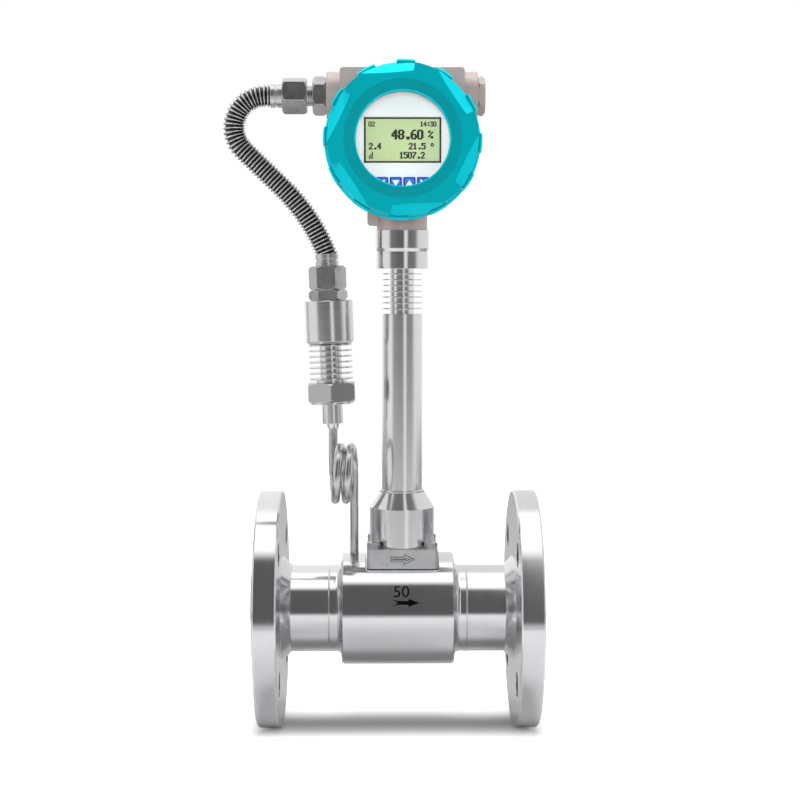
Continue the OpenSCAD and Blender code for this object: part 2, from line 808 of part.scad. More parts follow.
module housing_outside() {
    in_head() {
        translate([0, 0, -barrel_half]) cylinder(r = barrel_r, h = 2 * barrel_half);
        translate([0, 0, -spigot_end]) cylinder(r = spigot_r, h = 2 * spigot_end);
        for (side = [-1, 1]) translate([0, 0, side * (barrel_half - shoulder_w / 2) - shoulder_w / 2])
            cylinder(r = shoulder_r, h = shoulder_w);
        translate([0, block_top / 2, -block_half]) linear_extrude(2 * block_half)
            rounded_square(block_w, block_top, block_corner);
        translate([-lock_boss_x, -lock_boss_drop, -lock_boss_w / 2])
            linear_extrude(lock_boss_w) lock_boss_outline();
    }
    for (side = [-1, 1]) at_conduit(side, 0) conduit_boss();
    at_stem(collar_top) cylinder(d = neck_d, h = neck_len);
    at_stem(collar_top - neck_thread_len) cylinder(d = neck_thread_d, h = neck_thread_len + over);
}

// Boss of the lock screw, rounded at its lower outer corner
module lock_boss_outline() {
    rise = lock_boss_drop - sqrt(barrel_r * barrel_r - pow(lock_boss_x + lock_boss_half, 2)) + over;
    translate([-lock_boss_half, lock_boss_half / 2]) square([2 * lock_boss_half, rise]);
    translate([-lock_boss_half / 2, 0]) square([1.5 * lock_boss_half, rise]);
    translate([-lock_boss_half / 2, lock_boss_half / 2]) circle(r = lock_boss_half / 2, $fn = 32);
}

module housing() {
    color(taupe) difference() {
        housing_outside();
        in_head() {
            translate([0, 0, chamber_floor]) cylinder(r = chamber_r, h = 2 * spigot_end);
            translate([0, 0, rear_floor - 2 * spigot_end]) cylinder(r = chamber_r, h = 2 * spigot_end);
        }
        for (side = [-1, 1])
            at_conduit(side, chamber_r / 2) cylinder(d = conduit_d + 2 * fit_gap, h = boss_end);
        at_stem(collar_top - neck_thread_len - over) cylinder(d = neck_bore, h = neck_len - chamber_r / 2);
        at_lock_screw(-over) cylinder(d = lock_screw_d + 2 * fit_gap, h = lock_screw_len + 2 * over);
    }
}

module at_lock_screw(z) {
    at_stem(head_z - lock_boss_drop + z) translate([-lock_boss_x, 0, 0]) children();
}

module lock_screw() {
    socket_d = lock_screw_d / 2;
    color(dull_steel) at_lock_screw(over) difference() {
        cylinder(d = lock_screw_d, h = lock_screw_len);
        translate([0, 0, -over]) cylinder(d = socket_d, h = lock_screw_len / 3 + over, $fn = 6);
    }
}

// Covers

// Lugs round a cover, from its rim to their bevelled front
module cover_lugs(base_r, top_r) {
    half = lug_angle / 2;
    foot = half + lug_taper;
    pitch = 360 / lug_count;
    low = base_r - 2 * over;
    reach = top_r + 2 * over;
    start_z = cover_back + lug_start;
    end_z = start_z + lug_len;
    intersection() {
        rotate_extrude() polygon([[base_r - over, start_z], [top_r, start_z], [top_r, end_z - lug_taper],
            [top_r - lug_taper, end_z], [base_r - over, end_z]]);
        for (i = [0:lug_count - 1])
            rotate([0, 0, 90 + lug_turn + i * pitch]) linear_extrude(2 * cover_front)
                polygon([[low * cos(foot), -low * sin(foot)], [reach * cos(half), -reach * sin(half)],
                    [reach * cos(half), reach * sin(half)], [low * cos(foot), low * sin(foot)]]);
    }
}

// Slanting finger flat: a plane through two points at its step and one at its far end on the edge
module finger_flat(edge_z) {
    slope = face_fall / (cover_r - crease_r);
    inner = [cover_r - swirl_w, 0, edge_z + slope * swirl_w];
    outer = [cover_r, 0, edge_z - swirl_h];
    far = [cover_r * cos(swirl_angle), cover_r * sin(swirl_angle), edge_z];
    normal = unit(cross(outer - inner, far - inner));
    intersection() {
        translate([0, 0, edge_z - 2 * swirl_h]) cube(2 * cover_r);
        translate(inner) rotate([0, acos(normal[2]), atan2(normal[1], normal[0])])
            translate([-cover_r, -cover_r, 0]) cube([2 * cover_r, 2 * cover_r, cover_r]);
    }
}

// Groove of the seal at the mouth of a cover
module seal_mouth() {
    translate([0, cover_back - over]) square([cover_bore_r + seal_groove, over + seal_groove]);
}

// Rim ring at the mouth of a cover, sloping to its side
module rim_section(side_r, rim_r, edge) {
    polygon([[side_r - over, cover_back], [rim_r - edge, cover_back], [rim_r, cover_back + edge],
        [rim_r, cover_back + rim_w], [side_r, cover_back + rim_w + rim_slope],
        [side_r - over, cover_back + rim_w]]);
}

module front_cover_section() {
    edge_z = cover_front - face_fall;
    chamfer = 0.8;
    difference() {
        union() {
            polygon([[0, cover_back], [cover_r, cover_back], [cover_r, edge_z], [crease_r, cover_front],
                [0, cover_front]]);
            rim_section(cover_r, cover_rim_r, rim_edge_w);
        }
        translate([0, cover_back - over]) square([cover_bore_r, cover_floor - cover_back + over]);
        square([glass_seat_r, glass_front]);
        square([window_r, 2 * cover_front]);
        translate([window_r, cover_front]) rotate(45) square(chamfer * sqrt(2), center = true);
        seal_mouth();
    }
}

module front_cover() {
    color(teal) in_head() {
        difference() {
            rotate_extrude($fn = 120) front_cover_section();
            for (i = [0:swirl_count - 1])
                rotate([0, 0, swirl_turn + i * 360 / swirl_count]) finger_flat(cover_front - face_fall);
        }
        cover_lugs(cover_r, lug_r);
    }
}

module window_glass() {
    color(clear) in_head() translate([0, 0, glass_back]) cylinder(r = glass_r, h = glass_t);
}

module window_ring() {
    color(black) in_head() translate([0, 0, cover_floor])
        tube(2 * glass_r, 2 * (window_r + ring_back), glass_ring_t);
}

// Seal in the mouth of a cover
module cover_seal() {
    color(black) in_head() rotate_extrude()
        translate([seal_r, cover_back + seal_groove / 2]) circle(d = seal_t, $fn = 24);
}

module front_seal() {
    cover_seal();
}

module to_rear() {
    mirror([0, 1, 0]) children();
}

module rear_cover_section() {
    side_r = cover_r - rear_step;
    end_z = cover_back + rear_depth;
    chamfer = 3;
    step_r = side_r - 9;
    step_h = 1.5;
    end_wall = 5;
    difference() {
        union() {
            polygon([[0, cover_back], [side_r, cover_back], [side_r, end_z - chamfer - step_h],
                [side_r - chamfer, end_z - step_h], [step_r, end_z - step_h], [step_r - step_h, end_z],
                [0, end_z]]);
            rim_section(side_r, cover_rim_r - rear_step, rim_edge_w);
        }
        translate([0, cover_back - over]) square([cover_bore_r, rear_depth - end_wall + over]);
        seal_mouth();
    }
}

module rear_cover() {
    color(teal) to_rear() in_head() {
        rotate_extrude($fn = 120) rear_cover_section();
        cover_lugs(cover_r - rear_step, lug_r - rear_step);
    }
}

module rear_seal() {
    to_rear() cover_seal();
}

// Display

module at_spacers(z) {
    for (x = [-1, 1], y = [-1, 1]) translate([x * spacer_x / 2, y * spacer_y / 2, z]) children();
}

module at_key(i) {
    translate([(i - 1.5) * key_pitch, -key_drop, 0]) children();
}

module display_plate() {
    color(white) in_head() difference() {
        translate([0, 0, plate_back]) cylinder(r = plate_r, h = plate_t);
        translate([0, 0, plate_back - over]) {
            linear_extrude(plate_t + 2 * over)
                square([lcd_w + 2 * fit_gap, lcd_h + 2 * fit_gap], center = true);
            for (i = [0:3]) at_key(i) linear_extrude(plate_t + 2 * over)
                rounded_square(key_w + 2 * run_gap, key_w + 2 * run_gap, key_corner + run_gap);
        }
    }
}

module plate_screws() {
    head_d = spacer_d - 1;
    head_h = 0.9;
    slot_w = 0.8;
    color(dull_steel) in_head() at_spacers(plate_front) difference() {
        cylinder(d = head_d, h = head_h);
        translate([-head_d, -slot_w / 2, head_h / 2]) cube([2 * head_d, slot_w, head_h]);
    }
}

module lcd_frame() {
    color(black) in_head() difference() {
        translate([-lcd_w / 2, -lcd_h / 2, board_front]) cube([lcd_w, lcd_h, lcd_front - board_front]);
        translate([lcd_border - lcd_w / 2, lcd_border - lcd_h / 2, plate_back])
            cube([lcd_w - 2 * lcd_border, lcd_h - 2 * lcd_border, plate_t + 2 * lcd_proud]);
    }
}

module lcd_panel() {
    pane_w = lcd_w - 2 * lcd_border - 2 * fit_gap;
    pane_h = lcd_h - 2 * lcd_border - 2 * fit_gap;
    color(lcd_green) in_head()
        translate([-pane_w / 2, -pane_h / 2, plate_back]) cube([pane_w, pane_h, plate_t]);
}

// Board behind the display, with the switches under the keys
module display_board() {
    switch_w = 6;
    color(board_green) in_head() {
        translate([0, 0, board_back]) cylinder(r = board_r, h = board_t);
        for (i = [0:3]) at_key(i) translate([-switch_w / 2, -switch_w / 2, board_front - board_t / 2])
            cube([switch_w, switch_w, switch_front - board_front + board_t / 2]);
    }
}

// Board behind the stack, with the connector that takes the probe lead
module amplifier_board() {
    color(board_green) in_head() {
        translate([0, 0, amplifier_z]) cylinder(r = board_r, h = board_t);
        translate([-connector_w / 2, -connector_y, -lead_d / 2])
            cube([connector_w, connector_h, amplifier_z + lead_d / 2 + board_t / 2]);
    }
}

module board_spacers() {
    color(brass) in_head() {
        at_spacers(chamber_floor) cylinder(d = spacer_d, h = amplifier_z - chamber_floor);
        at_spacers(amplifier_z + board_t) cylinder(d = spacer_d, h = board_back - amplifier_z - board_t);
        at_spacers(board_front) cylinder(d = spacer_d, h = board_gap);
    }
}

// Key with the flange that keeps it behind the plate
module key(i) {
    color(key_blue) in_head() at_key(i) {
        translate([0, 0, key_back]) linear_extrude(plate_front + key_proud - key_back)
            rounded_square(key_w, key_w, key_corner);
        translate([-key_w / 2, -key_flange_h / 2, key_back]) cube([key_w, key_flange_h, key_flange_t]);
    }
}

module key_left() {
    key(0);
}

module key_down() {
    key(1);
}

module key_up() {
    key(2);
}

module key_right() {
    key(3);
}

// Terminals in the rear chamber
terminal_pitch = terminal_w / (terminal_count + 1);
terminal_screw_d = 4.4;

module at_terminals(z) {
    for (i = [1:terminal_count]) translate([i * terminal_pitch - terminal_w / 2, 0, z]) children();
}

module terminal_block() {
    color(black) in_head() difference() {
        translate([-terminal_w / 2, -terminal_h / 2, rear_floor - terminal_t])
            cube([terminal_w, terminal_h, terminal_t]);
        at_terminals(rear_floor - terminal_t - over)
            cylinder(d = terminal_screw_d + 2 * fit_gap, h = terminal_t / 2 + over);
    }
}

module terminal_screws() {
    slot_w = 0.8;
    color(brass) in_head() at_terminals(rear_floor - terminal_t) difference() {
        cylinder(d = terminal_screw_d, h = terminal_t / 2);
        translate([-terminal_screw_d, -slot_w / 2, -slot_w])
            cube([2 * terminal_screw_d, slot_w, 2 * slot_w]);
    }
}

// Fittings

module blanking_plug() {
    color(taupe) {
        at_conduit(1, boss_end) hex_bar(plug_af, plug_len, nut_chamfer);
        at_conduit(1, boss_end - conduit_thread_len)
            cylinder(d = conduit_d, h = conduit_thread_len + over);
    }
}

// Adapter from the conduit boss to the hose nut, with a bore for the wires
module hose_adapter() {
    color(dull_steel) at_conduit(-1, 0) difference() {
        union() {
            translate([0, 0, boss_end]) hex_bar(adapter_af, adapter_len, nut_chamfer);
            translate([0, 0, boss_end - conduit_thread_len])
                cylinder(d = conduit_d, h = conduit_thread_len + over);
            translate([0, 0, boss_end])
                cylinder(d = adapter_thread_d, h = nut_start - boss_end + thread_reach);
        }
        cylinder(d = wire_d, h = 2 * nut_end);
    }
}

// Hose nut: wide bore for the thread at its foot and a narrow one for the ferrule's tail
module hose_nut(length) {
    difference() {
        hex_bar(nut_af, length, nut_chamfer);
        translate([0, 0, -over]) cylinder(d = adapter_thread_d + 2 * fit_gap, h = thread_reach + over);
        translate([0, 0, -over]) cylinder(d = ferrule_tail_d + 2 * fit_gap, h = length + 2 * over);
    }
}

// Ferrule with a groove round its middle and a tail inside the nut
module ferrule() {
    groove_w = 1.6;
    groove_t = 0.7;
    difference() {
        union() {
            cylinder(d = ferrule_d, h = ferrule_len);
            translate([0, 0, -tail_len]) cylinder(d = ferrule_tail_d, h = tail_len + over);
        }
        translate([0, 0, -tail_len - over]) cylinder(d = wire_d, h = tail_len + ferrule_len + 2 * over);
        translate([0, 0, (ferrule_len - groove_w) / 2])
            tube(ferrule_d + 2 * over, ferrule_d - 2 * groove_t, groove_w);
    }
}

module upper_nut() {
    turn = 13;
    color(dull_steel) at_conduit(-1, nut_start) rotate([0, 0, turn]) hose_nut(upper_nut_len);
}

module upper_ferrule() {
    color(brushed) at_conduit(-1, nut_end) ferrule();
}

// Flexible metal hose between the two ferrules, ending square on each of them
module flexible_hose() {
    path = [for (p = hose_route) [p[0], 0, p[1]]];
    last = len(path) - 1;
    seat = [sin(cell_tilt), 0, -cos(cell_tilt)];
    along = [for (i = [0:last]) i == 0 ? [-1, 0, 0] : i == last ? seat : tangent(path, i)];
    color(dull_steel) swept_tube(path, along, [0, 1, 0], hose_d / 2, hose_sides);
}

module lower_ferrule() {
    color(brushed) at_cell(lower_nut_top) ferrule();
}

module lower_nut() {
    turn = -4;
    color(dull_steel) at_cell(lower_nut_z) rotate([0, 0, turn]) hose_nut(lower_nut_len);
}

// Pressure cell

// Thin hex screwed into the casing, with the thread that takes the lower hose nut
module casing_cap() {
    color(dull_steel) at_cell(0) difference() {
        union() {
            translate([0, 0, casing_top]) hex_bar(adapter_af, cap_hex_h, nut_chamfer);
            translate([0, 0, lower_nut_z - over]) cylinder(d = adapter_thread_d, h = thread_reach + over);
            translate([0, 0, casing_top - casing_wall])
                cylinder(d = adapter_thread_d, h = casing_wall + over);
        }
        cylinder(d = wire_d, h = 2 * casing_top);
    }
}

module pressure_casing() {
    mouth_d = casing_d - 2 * casing_wall;
    casing_rim = 0.5;
    color(polished) at_cell(casing_z) difference() {
        rotate_extrude() polygon([[0, 0], [casing_d / 2 - casing_edge, 0], [casing_d / 2, casing_edge],
            [casing_d / 2, casing_h - casing_rim], [casing_d / 2 - casing_rim, casing_h], [0, casing_h]]);
        translate([0, 0, casing_wall]) cylinder(d = mouth_d, h = casing_h - 2 * casing_wall);
        translate([0, 0, casing_h / 2]) cylinder(d = adapter_thread_d + 2 * fit_gap, h = casing_h);
        translate([0, 0, -over]) cylinder(d = cell_core_d + 2 * fit_gap, h = casing_wall + 2 * over);
    }
}

// Turned cell: disc and hex at the foot, then the cooling fins and the spigot in the casing
module pressure_cell() {
    color(brushed) at_cell(nipple_top) {
        cylinder(d = cell_fin_d, h = cell_disc_t);
        translate([0, 0, cell_disc_t]) rotate([0, 0, 30]) hex_bar(cell_af, cell_hex_h, nut_chamfer);
        translate([0, 0, hex_top - nipple_top - over])
            cylinder(d = cell_shoulder_d, h = cell_shoulder_h + over);
        translate([0, 0, cell_fin_start - nipple_top - over])
            cylinder(d = cell_core_d, h = cell_fin_zone + casing_wall + over);
        for (i = [0:cell_fins - 1])
            translate([0, 0, cell_fin_start - nipple_top + cell_fin_lead + i * cell_fin_pitch])
                cylinder(d = cell_fin_d, h = cell_fin_t);
    }
}

// Nipple that carries the cell on the siphon
module siphon_nipple() {
    foot_wall = 0.6;
    neck_wall = 1.4;
    color(brushed) at_cell(0) rotate_extrude() polygon([[0, 0], [siphon_d / 2 + foot_wall, 0],
        [siphon_d / 2 + neck_wall, nipple_cone_h], [nipple_d / 2, nipple_cone_h],
        [nipple_d / 2, nipple_top], [0, nipple_top]]);
}

// Siphon: down from the nipple, round the coil in front of the tap and down into the body
function coil_point(u) = [cell_x + u * (tap_x - cell_x),
    coil_r * cos(360 * coil_turns * u) - coil_r, coil_z - coil_r * sin(360 * coil_turns * u)];

module siphon_tube() {
    steps = coil_steps * coil_turns;
    foot = body_d / 2 - tap_depth;
    path = concat([[cell_x, 0, cell_z]], [for (i = [0:steps]) coil_point(i / steps)], [[tap_x, 0, foot]]);
    last = len(path) - 1;
    down = [0, 0, -1];
    tilted = [sin(cell_tilt), 0, -cos(cell_tilt)];
    along = [for (i = [0:last]) i == 0 ? tilted : i == last ? down : tangent(path, i)];
    color(brushed) swept_tube(path, along, [1, 0, 0], siphon_d / 2, siphon_sides);
}

inlet_flange();
outlet_flange();
inlet_pipe();
outlet_pipe();
meter_body();
shedder_bar();
sensor_probe();
base_gasket();
sensor_base();
base_bolts();
bonnet();
stem();
stem_collar();
probe_lead();
housing();
lock_screw();
front_cover();
window_glass();
window_ring();
front_seal();
rear_cover();
rear_seal();
display_plate();
plate_screws();
lcd_frame();
lcd_panel();
display_board();
amplifier_board();
board_spacers();
key_left();
key_down();
key_up();
key_right();
terminal_block();
terminal_screws();
blanking_plug();
hose_adapter();
upper_nut();
upper_ferrule();
flexible_hose();
lower_ferrule();
lower_nut();
casing_cap();
pressure_casing();
pressure_cell();
siphon_nipple();
siphon_tube();
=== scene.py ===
import math

import bmesh
import bpy
from mathutils import Matrix, Vector


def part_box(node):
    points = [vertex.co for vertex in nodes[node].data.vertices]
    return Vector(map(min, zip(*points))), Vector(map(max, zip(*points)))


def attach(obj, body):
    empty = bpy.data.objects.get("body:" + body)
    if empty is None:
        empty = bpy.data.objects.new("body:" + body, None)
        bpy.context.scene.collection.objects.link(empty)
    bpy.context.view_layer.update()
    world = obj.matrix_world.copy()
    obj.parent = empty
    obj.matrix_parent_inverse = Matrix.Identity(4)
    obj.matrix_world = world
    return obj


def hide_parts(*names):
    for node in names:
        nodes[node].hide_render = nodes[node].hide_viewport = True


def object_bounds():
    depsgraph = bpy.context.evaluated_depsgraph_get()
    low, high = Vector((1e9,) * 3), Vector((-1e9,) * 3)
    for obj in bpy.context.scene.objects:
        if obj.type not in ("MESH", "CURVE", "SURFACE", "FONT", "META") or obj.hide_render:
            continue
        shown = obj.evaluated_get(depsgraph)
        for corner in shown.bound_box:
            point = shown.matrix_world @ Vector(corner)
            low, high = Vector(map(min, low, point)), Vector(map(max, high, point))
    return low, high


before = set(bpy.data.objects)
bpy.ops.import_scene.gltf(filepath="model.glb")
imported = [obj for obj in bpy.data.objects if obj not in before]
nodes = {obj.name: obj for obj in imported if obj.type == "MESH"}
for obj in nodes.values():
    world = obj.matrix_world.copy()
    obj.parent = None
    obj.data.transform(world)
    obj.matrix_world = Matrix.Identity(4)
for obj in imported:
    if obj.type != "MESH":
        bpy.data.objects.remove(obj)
cad_box = [list(corner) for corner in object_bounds()]
scene = bpy.context.scene
scene.view_settings.view_transform = "Standard"


def middle(node, axis):
    """The middle of a node's box along one axis."""
    low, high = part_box(node)
    return (low[axis] + high[axis]) / 2


# Places of the meter's axes in metres: X with the flow, Z up the stem, and the display faces -Y
STEM_X = middle("stem", 0)
BODY_X = middle("meter_body", 0)
HEAD_Z = middle("window_glass", 2)
CONDUIT_Z = middle("upper_ferrule", 2)
FLOOR_Z = cad_box[0][2]
BODY_R = -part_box("meter_body")[0][2]
PANE_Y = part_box("lcd_panel")[0][1]
# Foot of the pressure cell, at the upper end of the siphon, and its lean towards the inlet
CELL_X, CELL_Z, CELL_TILT = 0.0516, 0.1267, math.radians(2)
# Pressure tap, where the siphon's lower end enters the body
TAP_X = 0.0662


def srgb(red, green, blue):
    """A colour as seen on screen, from 0 to 255, in Blender's linear values."""
    def linear(value):
        value /= 255
        return value / 12.92 if value <= 0.04045 else ((value + 0.055) / 1.055) ** 2.4
    return (linear(red), linear(green), linear(blue), 1.0)


def put(tree, kind, inputs=None, **settings):
    """A new node with its settings, and its inputs set or linked by name or number."""
    node = tree.nodes.new(kind)
    for key, value in settings.items():
        setattr(node, key, value)
    for key, value in (inputs or {}).items():
        if isinstance(value, bpy.types.NodeSocket):
            tree.links.new(value, node.inputs[key])
        else:
            node.inputs[key].default_value = value
    return node


def calc(tree, operation, first, second=0.0, third=0.0):
    """The result of a Math node."""
    return put(tree, "ShaderNodeMath", {0: first, 1: second, 2: third}, operation=operation).outputs[0]


def object_of(name, data):
    """An object of a mesh, curve, camera or lamp, linked to the scene."""
    made = bpy.data.objects.new(name, data)
    scene.collection.objects.link(made)
    return made


# Camera


def set_camera():
    """Camera before the display, with its place in metres and its angles in degrees."""
    left, back, height = 0.01, 1.15, 0.231
    down, aside = 4.21, -0.58
    data = bpy.data.cameras.new("camera")
    data.sensor_width = 36
    data.lens = 74.5
    camera = object_of("camera", data)
    camera.location = (BODY_X - left, -back, height)
    camera.rotation_euler = (math.radians(90 - down), 0, math.radians(aside))
    scene.camera = camera


set_camera()

# Shader groups that the finishes share


def shader_group(name, inputs, outputs):
    """A new group with its input and output nodes. Inputs are (name, socket, default)."""
    tree = bpy.data.node_groups.new(name, "ShaderNodeTree")
    for title, socket, default in inputs:
        made = tree.interface.new_socket(name=title, in_out="INPUT", socket_type=socket)
        if default is not None:
            made.default_value = default
    for title, socket in outputs:
        tree.interface.new_socket(name=title, in_out="OUTPUT", socket_type=socket)
    return tree, put(tree, "NodeGroupInput"), put(tree, "NodeGroupOutput")


def lathe_marks_group():
    """Fine rings that a lathe leaves round the local Z axis, on sides and faces alike."""
    tree, given, result = shader_group("lathe_marks",
        [("Vector", "NodeSocketVector", None), ("Density", "NodeSocketFloat", 900.0)],
        [("Marks", "NodeSocketFloat")])
    parts = put(tree, "ShaderNodeSeparateXYZ", {0: given.outputs["Vector"]})
    radius = calc(tree, "SQRT", calc(tree, "ADD",
        calc(tree, "MULTIPLY", parts.outputs[0], parts.outputs[0]),
        calc(tree, "MULTIPLY", parts.outputs[1], parts.outputs[1])))
    across = put(tree, "ShaderNodeCombineXYZ", {0: radius, 1: parts.outputs[2]}).outputs[0]
    density = given.outputs["Density"]
    fine = put(tree, "ShaderNodeTexNoise", {"Vector": across, "Scale": density, "Detail": 3.0})
    broad = put(tree, "ShaderNodeTexNoise",
        {"Vector": across, "Scale": calc(tree, "MULTIPLY", density, 0.14), "Detail": 2.0})
    both = calc(tree, "MULTIPLY_ADD", fine.outputs[0], 0.6, calc(tree, "MULTIPLY", broad.outputs[0], 0.4))
    tree.links.new(both, result.inputs["Marks"])
    return tree


def handling_group():
    """Soft cloudy marks of wiping and handling."""
    tree, given, result = shader_group("handling",
        [("Vector", "NodeSocketVector", None), ("Size", "NodeSocketFloat", 0.02)],
        [("Mask", "NodeSocketFloat")])
    scale = calc(tree, "DIVIDE", 1.0, given.outputs["Size"])
    cloud = put(tree, "ShaderNodeTexNoise",
        {"Vector": given.outputs["Vector"], "Scale": scale, "Detail": 4.0, "Roughness": 0.55})
    spread = put(tree, "ShaderNodeMapRange", {0: cloud.outputs[0], 1: 0.3, 2: 0.7})
    tree.links.new(spread.outputs[0], result.inputs["Mask"])
    return tree


def skin_group():
    """Pebbled skin of a casting or of sprayed paint."""
    tree, given, result = shader_group("skin",
        [("Vector", "NodeSocketVector", None), ("Size", "NodeSocketFloat", 0.001)],
        [("Height", "NodeSocketFloat")])
    scale = calc(tree, "DIVIDE", 1.0, given.outputs["Size"])
    lumps = put(tree, "ShaderNodeTexNoise",
        {"Vector": given.outputs["Vector"], "Scale": scale, "Detail": 2.0, "Roughness": 0.5})
    tree.links.new(lumps.outputs[0], result.inputs["Height"])
    return tree


def edges_group():
    """Broken edges: the normal as if each edge were rounded, and a mask of where that is."""
    tree, given, result = shader_group("rounded_edges", [("Radius", "NodeSocketFloat", 0.0005)],
        [("Normal", "NodeSocketVector"), ("Mask", "NodeSocketFloat")])
    rounded = put(tree, "ShaderNodeBevel", {"Radius": given.outputs["Radius"]}, samples=6).outputs[0]
    flat = put(tree, "ShaderNodeNewGeometry").outputs["Normal"]
    alike = put(tree, "ShaderNodeVectorMath", {0: rounded, 1: flat}, operation="DOT_PRODUCT")
    bent = put(tree, "ShaderNodeMapRange", {0: alike.outputs["Value"], 1: 0.995, 2: 0.9}).outputs[0]
    tree.links.new(rounded, result.inputs["Normal"])
    tree.links.new(bent, result.inputs["Mask"])
    return tree


LATHE = lathe_marks_group()
HANDLING = handling_group()
SKIN = skin_group()
EDGES = edges_group()

# Mappings that bring a piece's own axis to the local Z axis
TUBE = {"Rotation": (0, -math.pi / 2, 0)}
STEM = {"Location": (-STEM_X, 0, 0)}
HEAD = {"Rotation": (math.pi / 2, 0, 0), "Location": (-STEM_X, HEAD_Z, 0)}
CELL = {"Rotation": (0, CELL_TILT, 0),
        "Location": (-(math.cos(CELL_TILT) * CELL_X + math.sin(CELL_TILT) * CELL_Z), 0, 0)}


def fresh(name):
    """A new material, its tree, its Principled shader and its Object coordinates."""
    material = bpy.data.materials.new(name)
    material.use_nodes = True
    tree = material.node_tree
    shader = tree.nodes["Principled BSDF"]
    place = put(tree, "ShaderNodeTexCoord").outputs["Object"]
    return material, tree, shader, place


def group(tree, which, inputs):
    """A shared group placed in a material with its own values."""
    return put(tree, "ShaderNodeGroup", inputs, node_tree=which)


def mixed(tree, factor, first, second, way="MIX"):
    """Two colours mixed by a mask."""
    colours = {"Factor": factor, 6: first, 7: second}
    return put(tree, "ShaderNodeMix", colours, data_type="RGBA", blend_type=way).outputs[2]


def ranged(tree, value, low, high):
    """A mask from 0 to 1 spread from low to high."""
    return put(tree, "ShaderNodeMapRange", {0: value, 3: low, 4: high}).outputs[0]


def join(tree, shader, colour=None, rough=None, height=None, relief=0.0, edges=None):
    """Links a finish to its shader, with the relief as a bump over the rounded edges."""
    if colour is not None:
        tree.links.new(colour, shader.inputs["Base Color"])
    if rough is not None:
        tree.links.new(rough, shader.inputs["Roughness"])
    if height is not None:
        bump = put(tree, "ShaderNodeBump", {"Strength": relief, "Distance": 0.0001, "Height": height})
        if edges is not None:
            tree.links.new(edges.outputs["Normal"], bump.inputs["Normal"])
        tree.links.new(bump.outputs[0], shader.inputs["Normal"])


# Lighter colour along the broken edges of metal: partly wear, partly a painted highlight
EDGE_BRIGHT = srgb(246, 246, 247)


def turned_metal(name, axis, light, dark, smooth, rough, density=900.0, edge=0.0004, milled=None):
    """Lathe-turned or polished metal with rings round its axis, and a milled (start, end, colour)."""
    relief = 0.08
    material, tree, shader, place = fresh(name)
    local = put(tree, "ShaderNodeMapping", {"Vector": place, **axis}).outputs[0]
    marks = group(tree, LATHE, {"Vector": local, "Density": density}).outputs["Marks"]
    hands = group(tree, HANDLING, {"Vector": place, "Size": 0.03}).outputs["Mask"]
    blend = calc(tree, "MULTIPLY_ADD", marks, 0.6, calc(tree, "MULTIPLY", hands, 0.4))
    shader.inputs["Metallic"].default_value = 1.0
    edges = group(tree, EDGES, {"Radius": edge})
    shine = mixed(tree, marks, dark, light)
    if milled:
        start, end, dull = milled
        along = put(tree, "ShaderNodeSeparateXYZ", {0: local}).outputs[2]
        past_start = calc(tree, "GREATER_THAN", along, start)
        before_end = calc(tree, "LESS_THAN", along, end)
        shine = mixed(tree, calc(tree, "MULTIPLY", past_start, before_end), shine, dull)
    # The broken edges are painted lighter: partly wear, partly a painted highlight
    wear_and_glint = mixed(tree, edges.outputs["Mask"], shine, EDGE_BRIGHT)
    join(tree, shader, wear_and_glint, ranged(tree, blend, smooth, rough), marks, relief, edges)
    return material


def plain_metal(name, light, dark, smooth, rough, grain=0.0012, relief=0.1):
    """Machined, cast or drawn metal with a fine grain and no rings."""
    material, tree, shader, place = fresh(name)
    skin = group(tree, SKIN, {"Vector": place, "Size": grain}).outputs["Height"]
    hands = group(tree, HANDLING, {"Vector": place, "Size": 0.008}).outputs["Mask"]
    shader.inputs["Metallic"].default_value = 1.0
    edges = group(tree, EDGES, {"Radius": 0.0005})
    # The broken edges are painted lighter: partly wear, partly a painted highlight
    wear_and_glint = mixed(tree, edges.outputs["Mask"], mixed(tree, hands, dark, light), EDGE_BRIGHT)
    join(tree, shader, wear_and_glint, ranged(tree, hands, smooth, rough), skin, relief, edges)
    return material


def paint(name, colour, shade, rough):
    """Sprayed paint on a casting, with a faint orange peel under a glossy coat."""
    material, tree, shader, place = fresh(name)
    skin = group(tree, SKIN, {"Vector": place, "Size": 0.0015}).outputs["Height"]
    hands = group(tree, HANDLING, {"Vector": place, "Size": 0.04}).outputs["Mask"]
    shader.inputs["Coat Weight"].default_value = 1.0
    shader.inputs["Coat Roughness"].default_value = 0.42
    shader.inputs["Coat IOR"].default_value = 2.4
    tone = mixed(tree, hands, shade, colour)
    join(tree, shader, tone, ranged(tree, hands, rough, rough + 0.1), skin, 0.05)
    return material


def cover_enamel():
    """Enamel of the covers: deep on the flat faces, with a painted highlight where finger flats, lugs and
    rims turn and along their edges.
    """
    material, tree, shader, place = fresh("cover_enamel")
    normal = put(tree, "ShaderNodeTexCoord").outputs["Normal"]
    facing = calc(tree, "ABSOLUTE", put(tree, "ShaderNodeSeparateXYZ", {0: normal}).outputs[1])
    turned = put(tree, "ShaderNodeMapRange", {0: facing, 1: 0.995, 2: 0.92}).outputs[0]
    hands = group(tree, HANDLING, {"Vector": place, "Size": 0.04}).outputs["Mask"]
    skin = group(tree, SKIN, {"Vector": place, "Size": 0.0015}).outputs["Height"]
    edges = group(tree, EDGES, {"Radius": 0.0006})
    flat = mixed(tree, hands, srgb(0, 145, 157), srgb(0, 152, 164))
    # Painted highlight: the faces that turn away from the flat front take a brighter cyan
    sides = mixed(tree, turned, flat, srgb(0, 214, 230))
    # Painted highlight: thin brighter lines along the broken edges
    thin = mixed(tree, calc(tree, "MULTIPLY", edges.outputs["Mask"], 0.6), sides, srgb(40, 226, 240))
    shader.inputs["Specular IOR Level"].default_value = 0.08
    join(tree, shader, thin, ranged(tree, hands, 0.34, 0.44), skin, 0.05, edges)
    return material


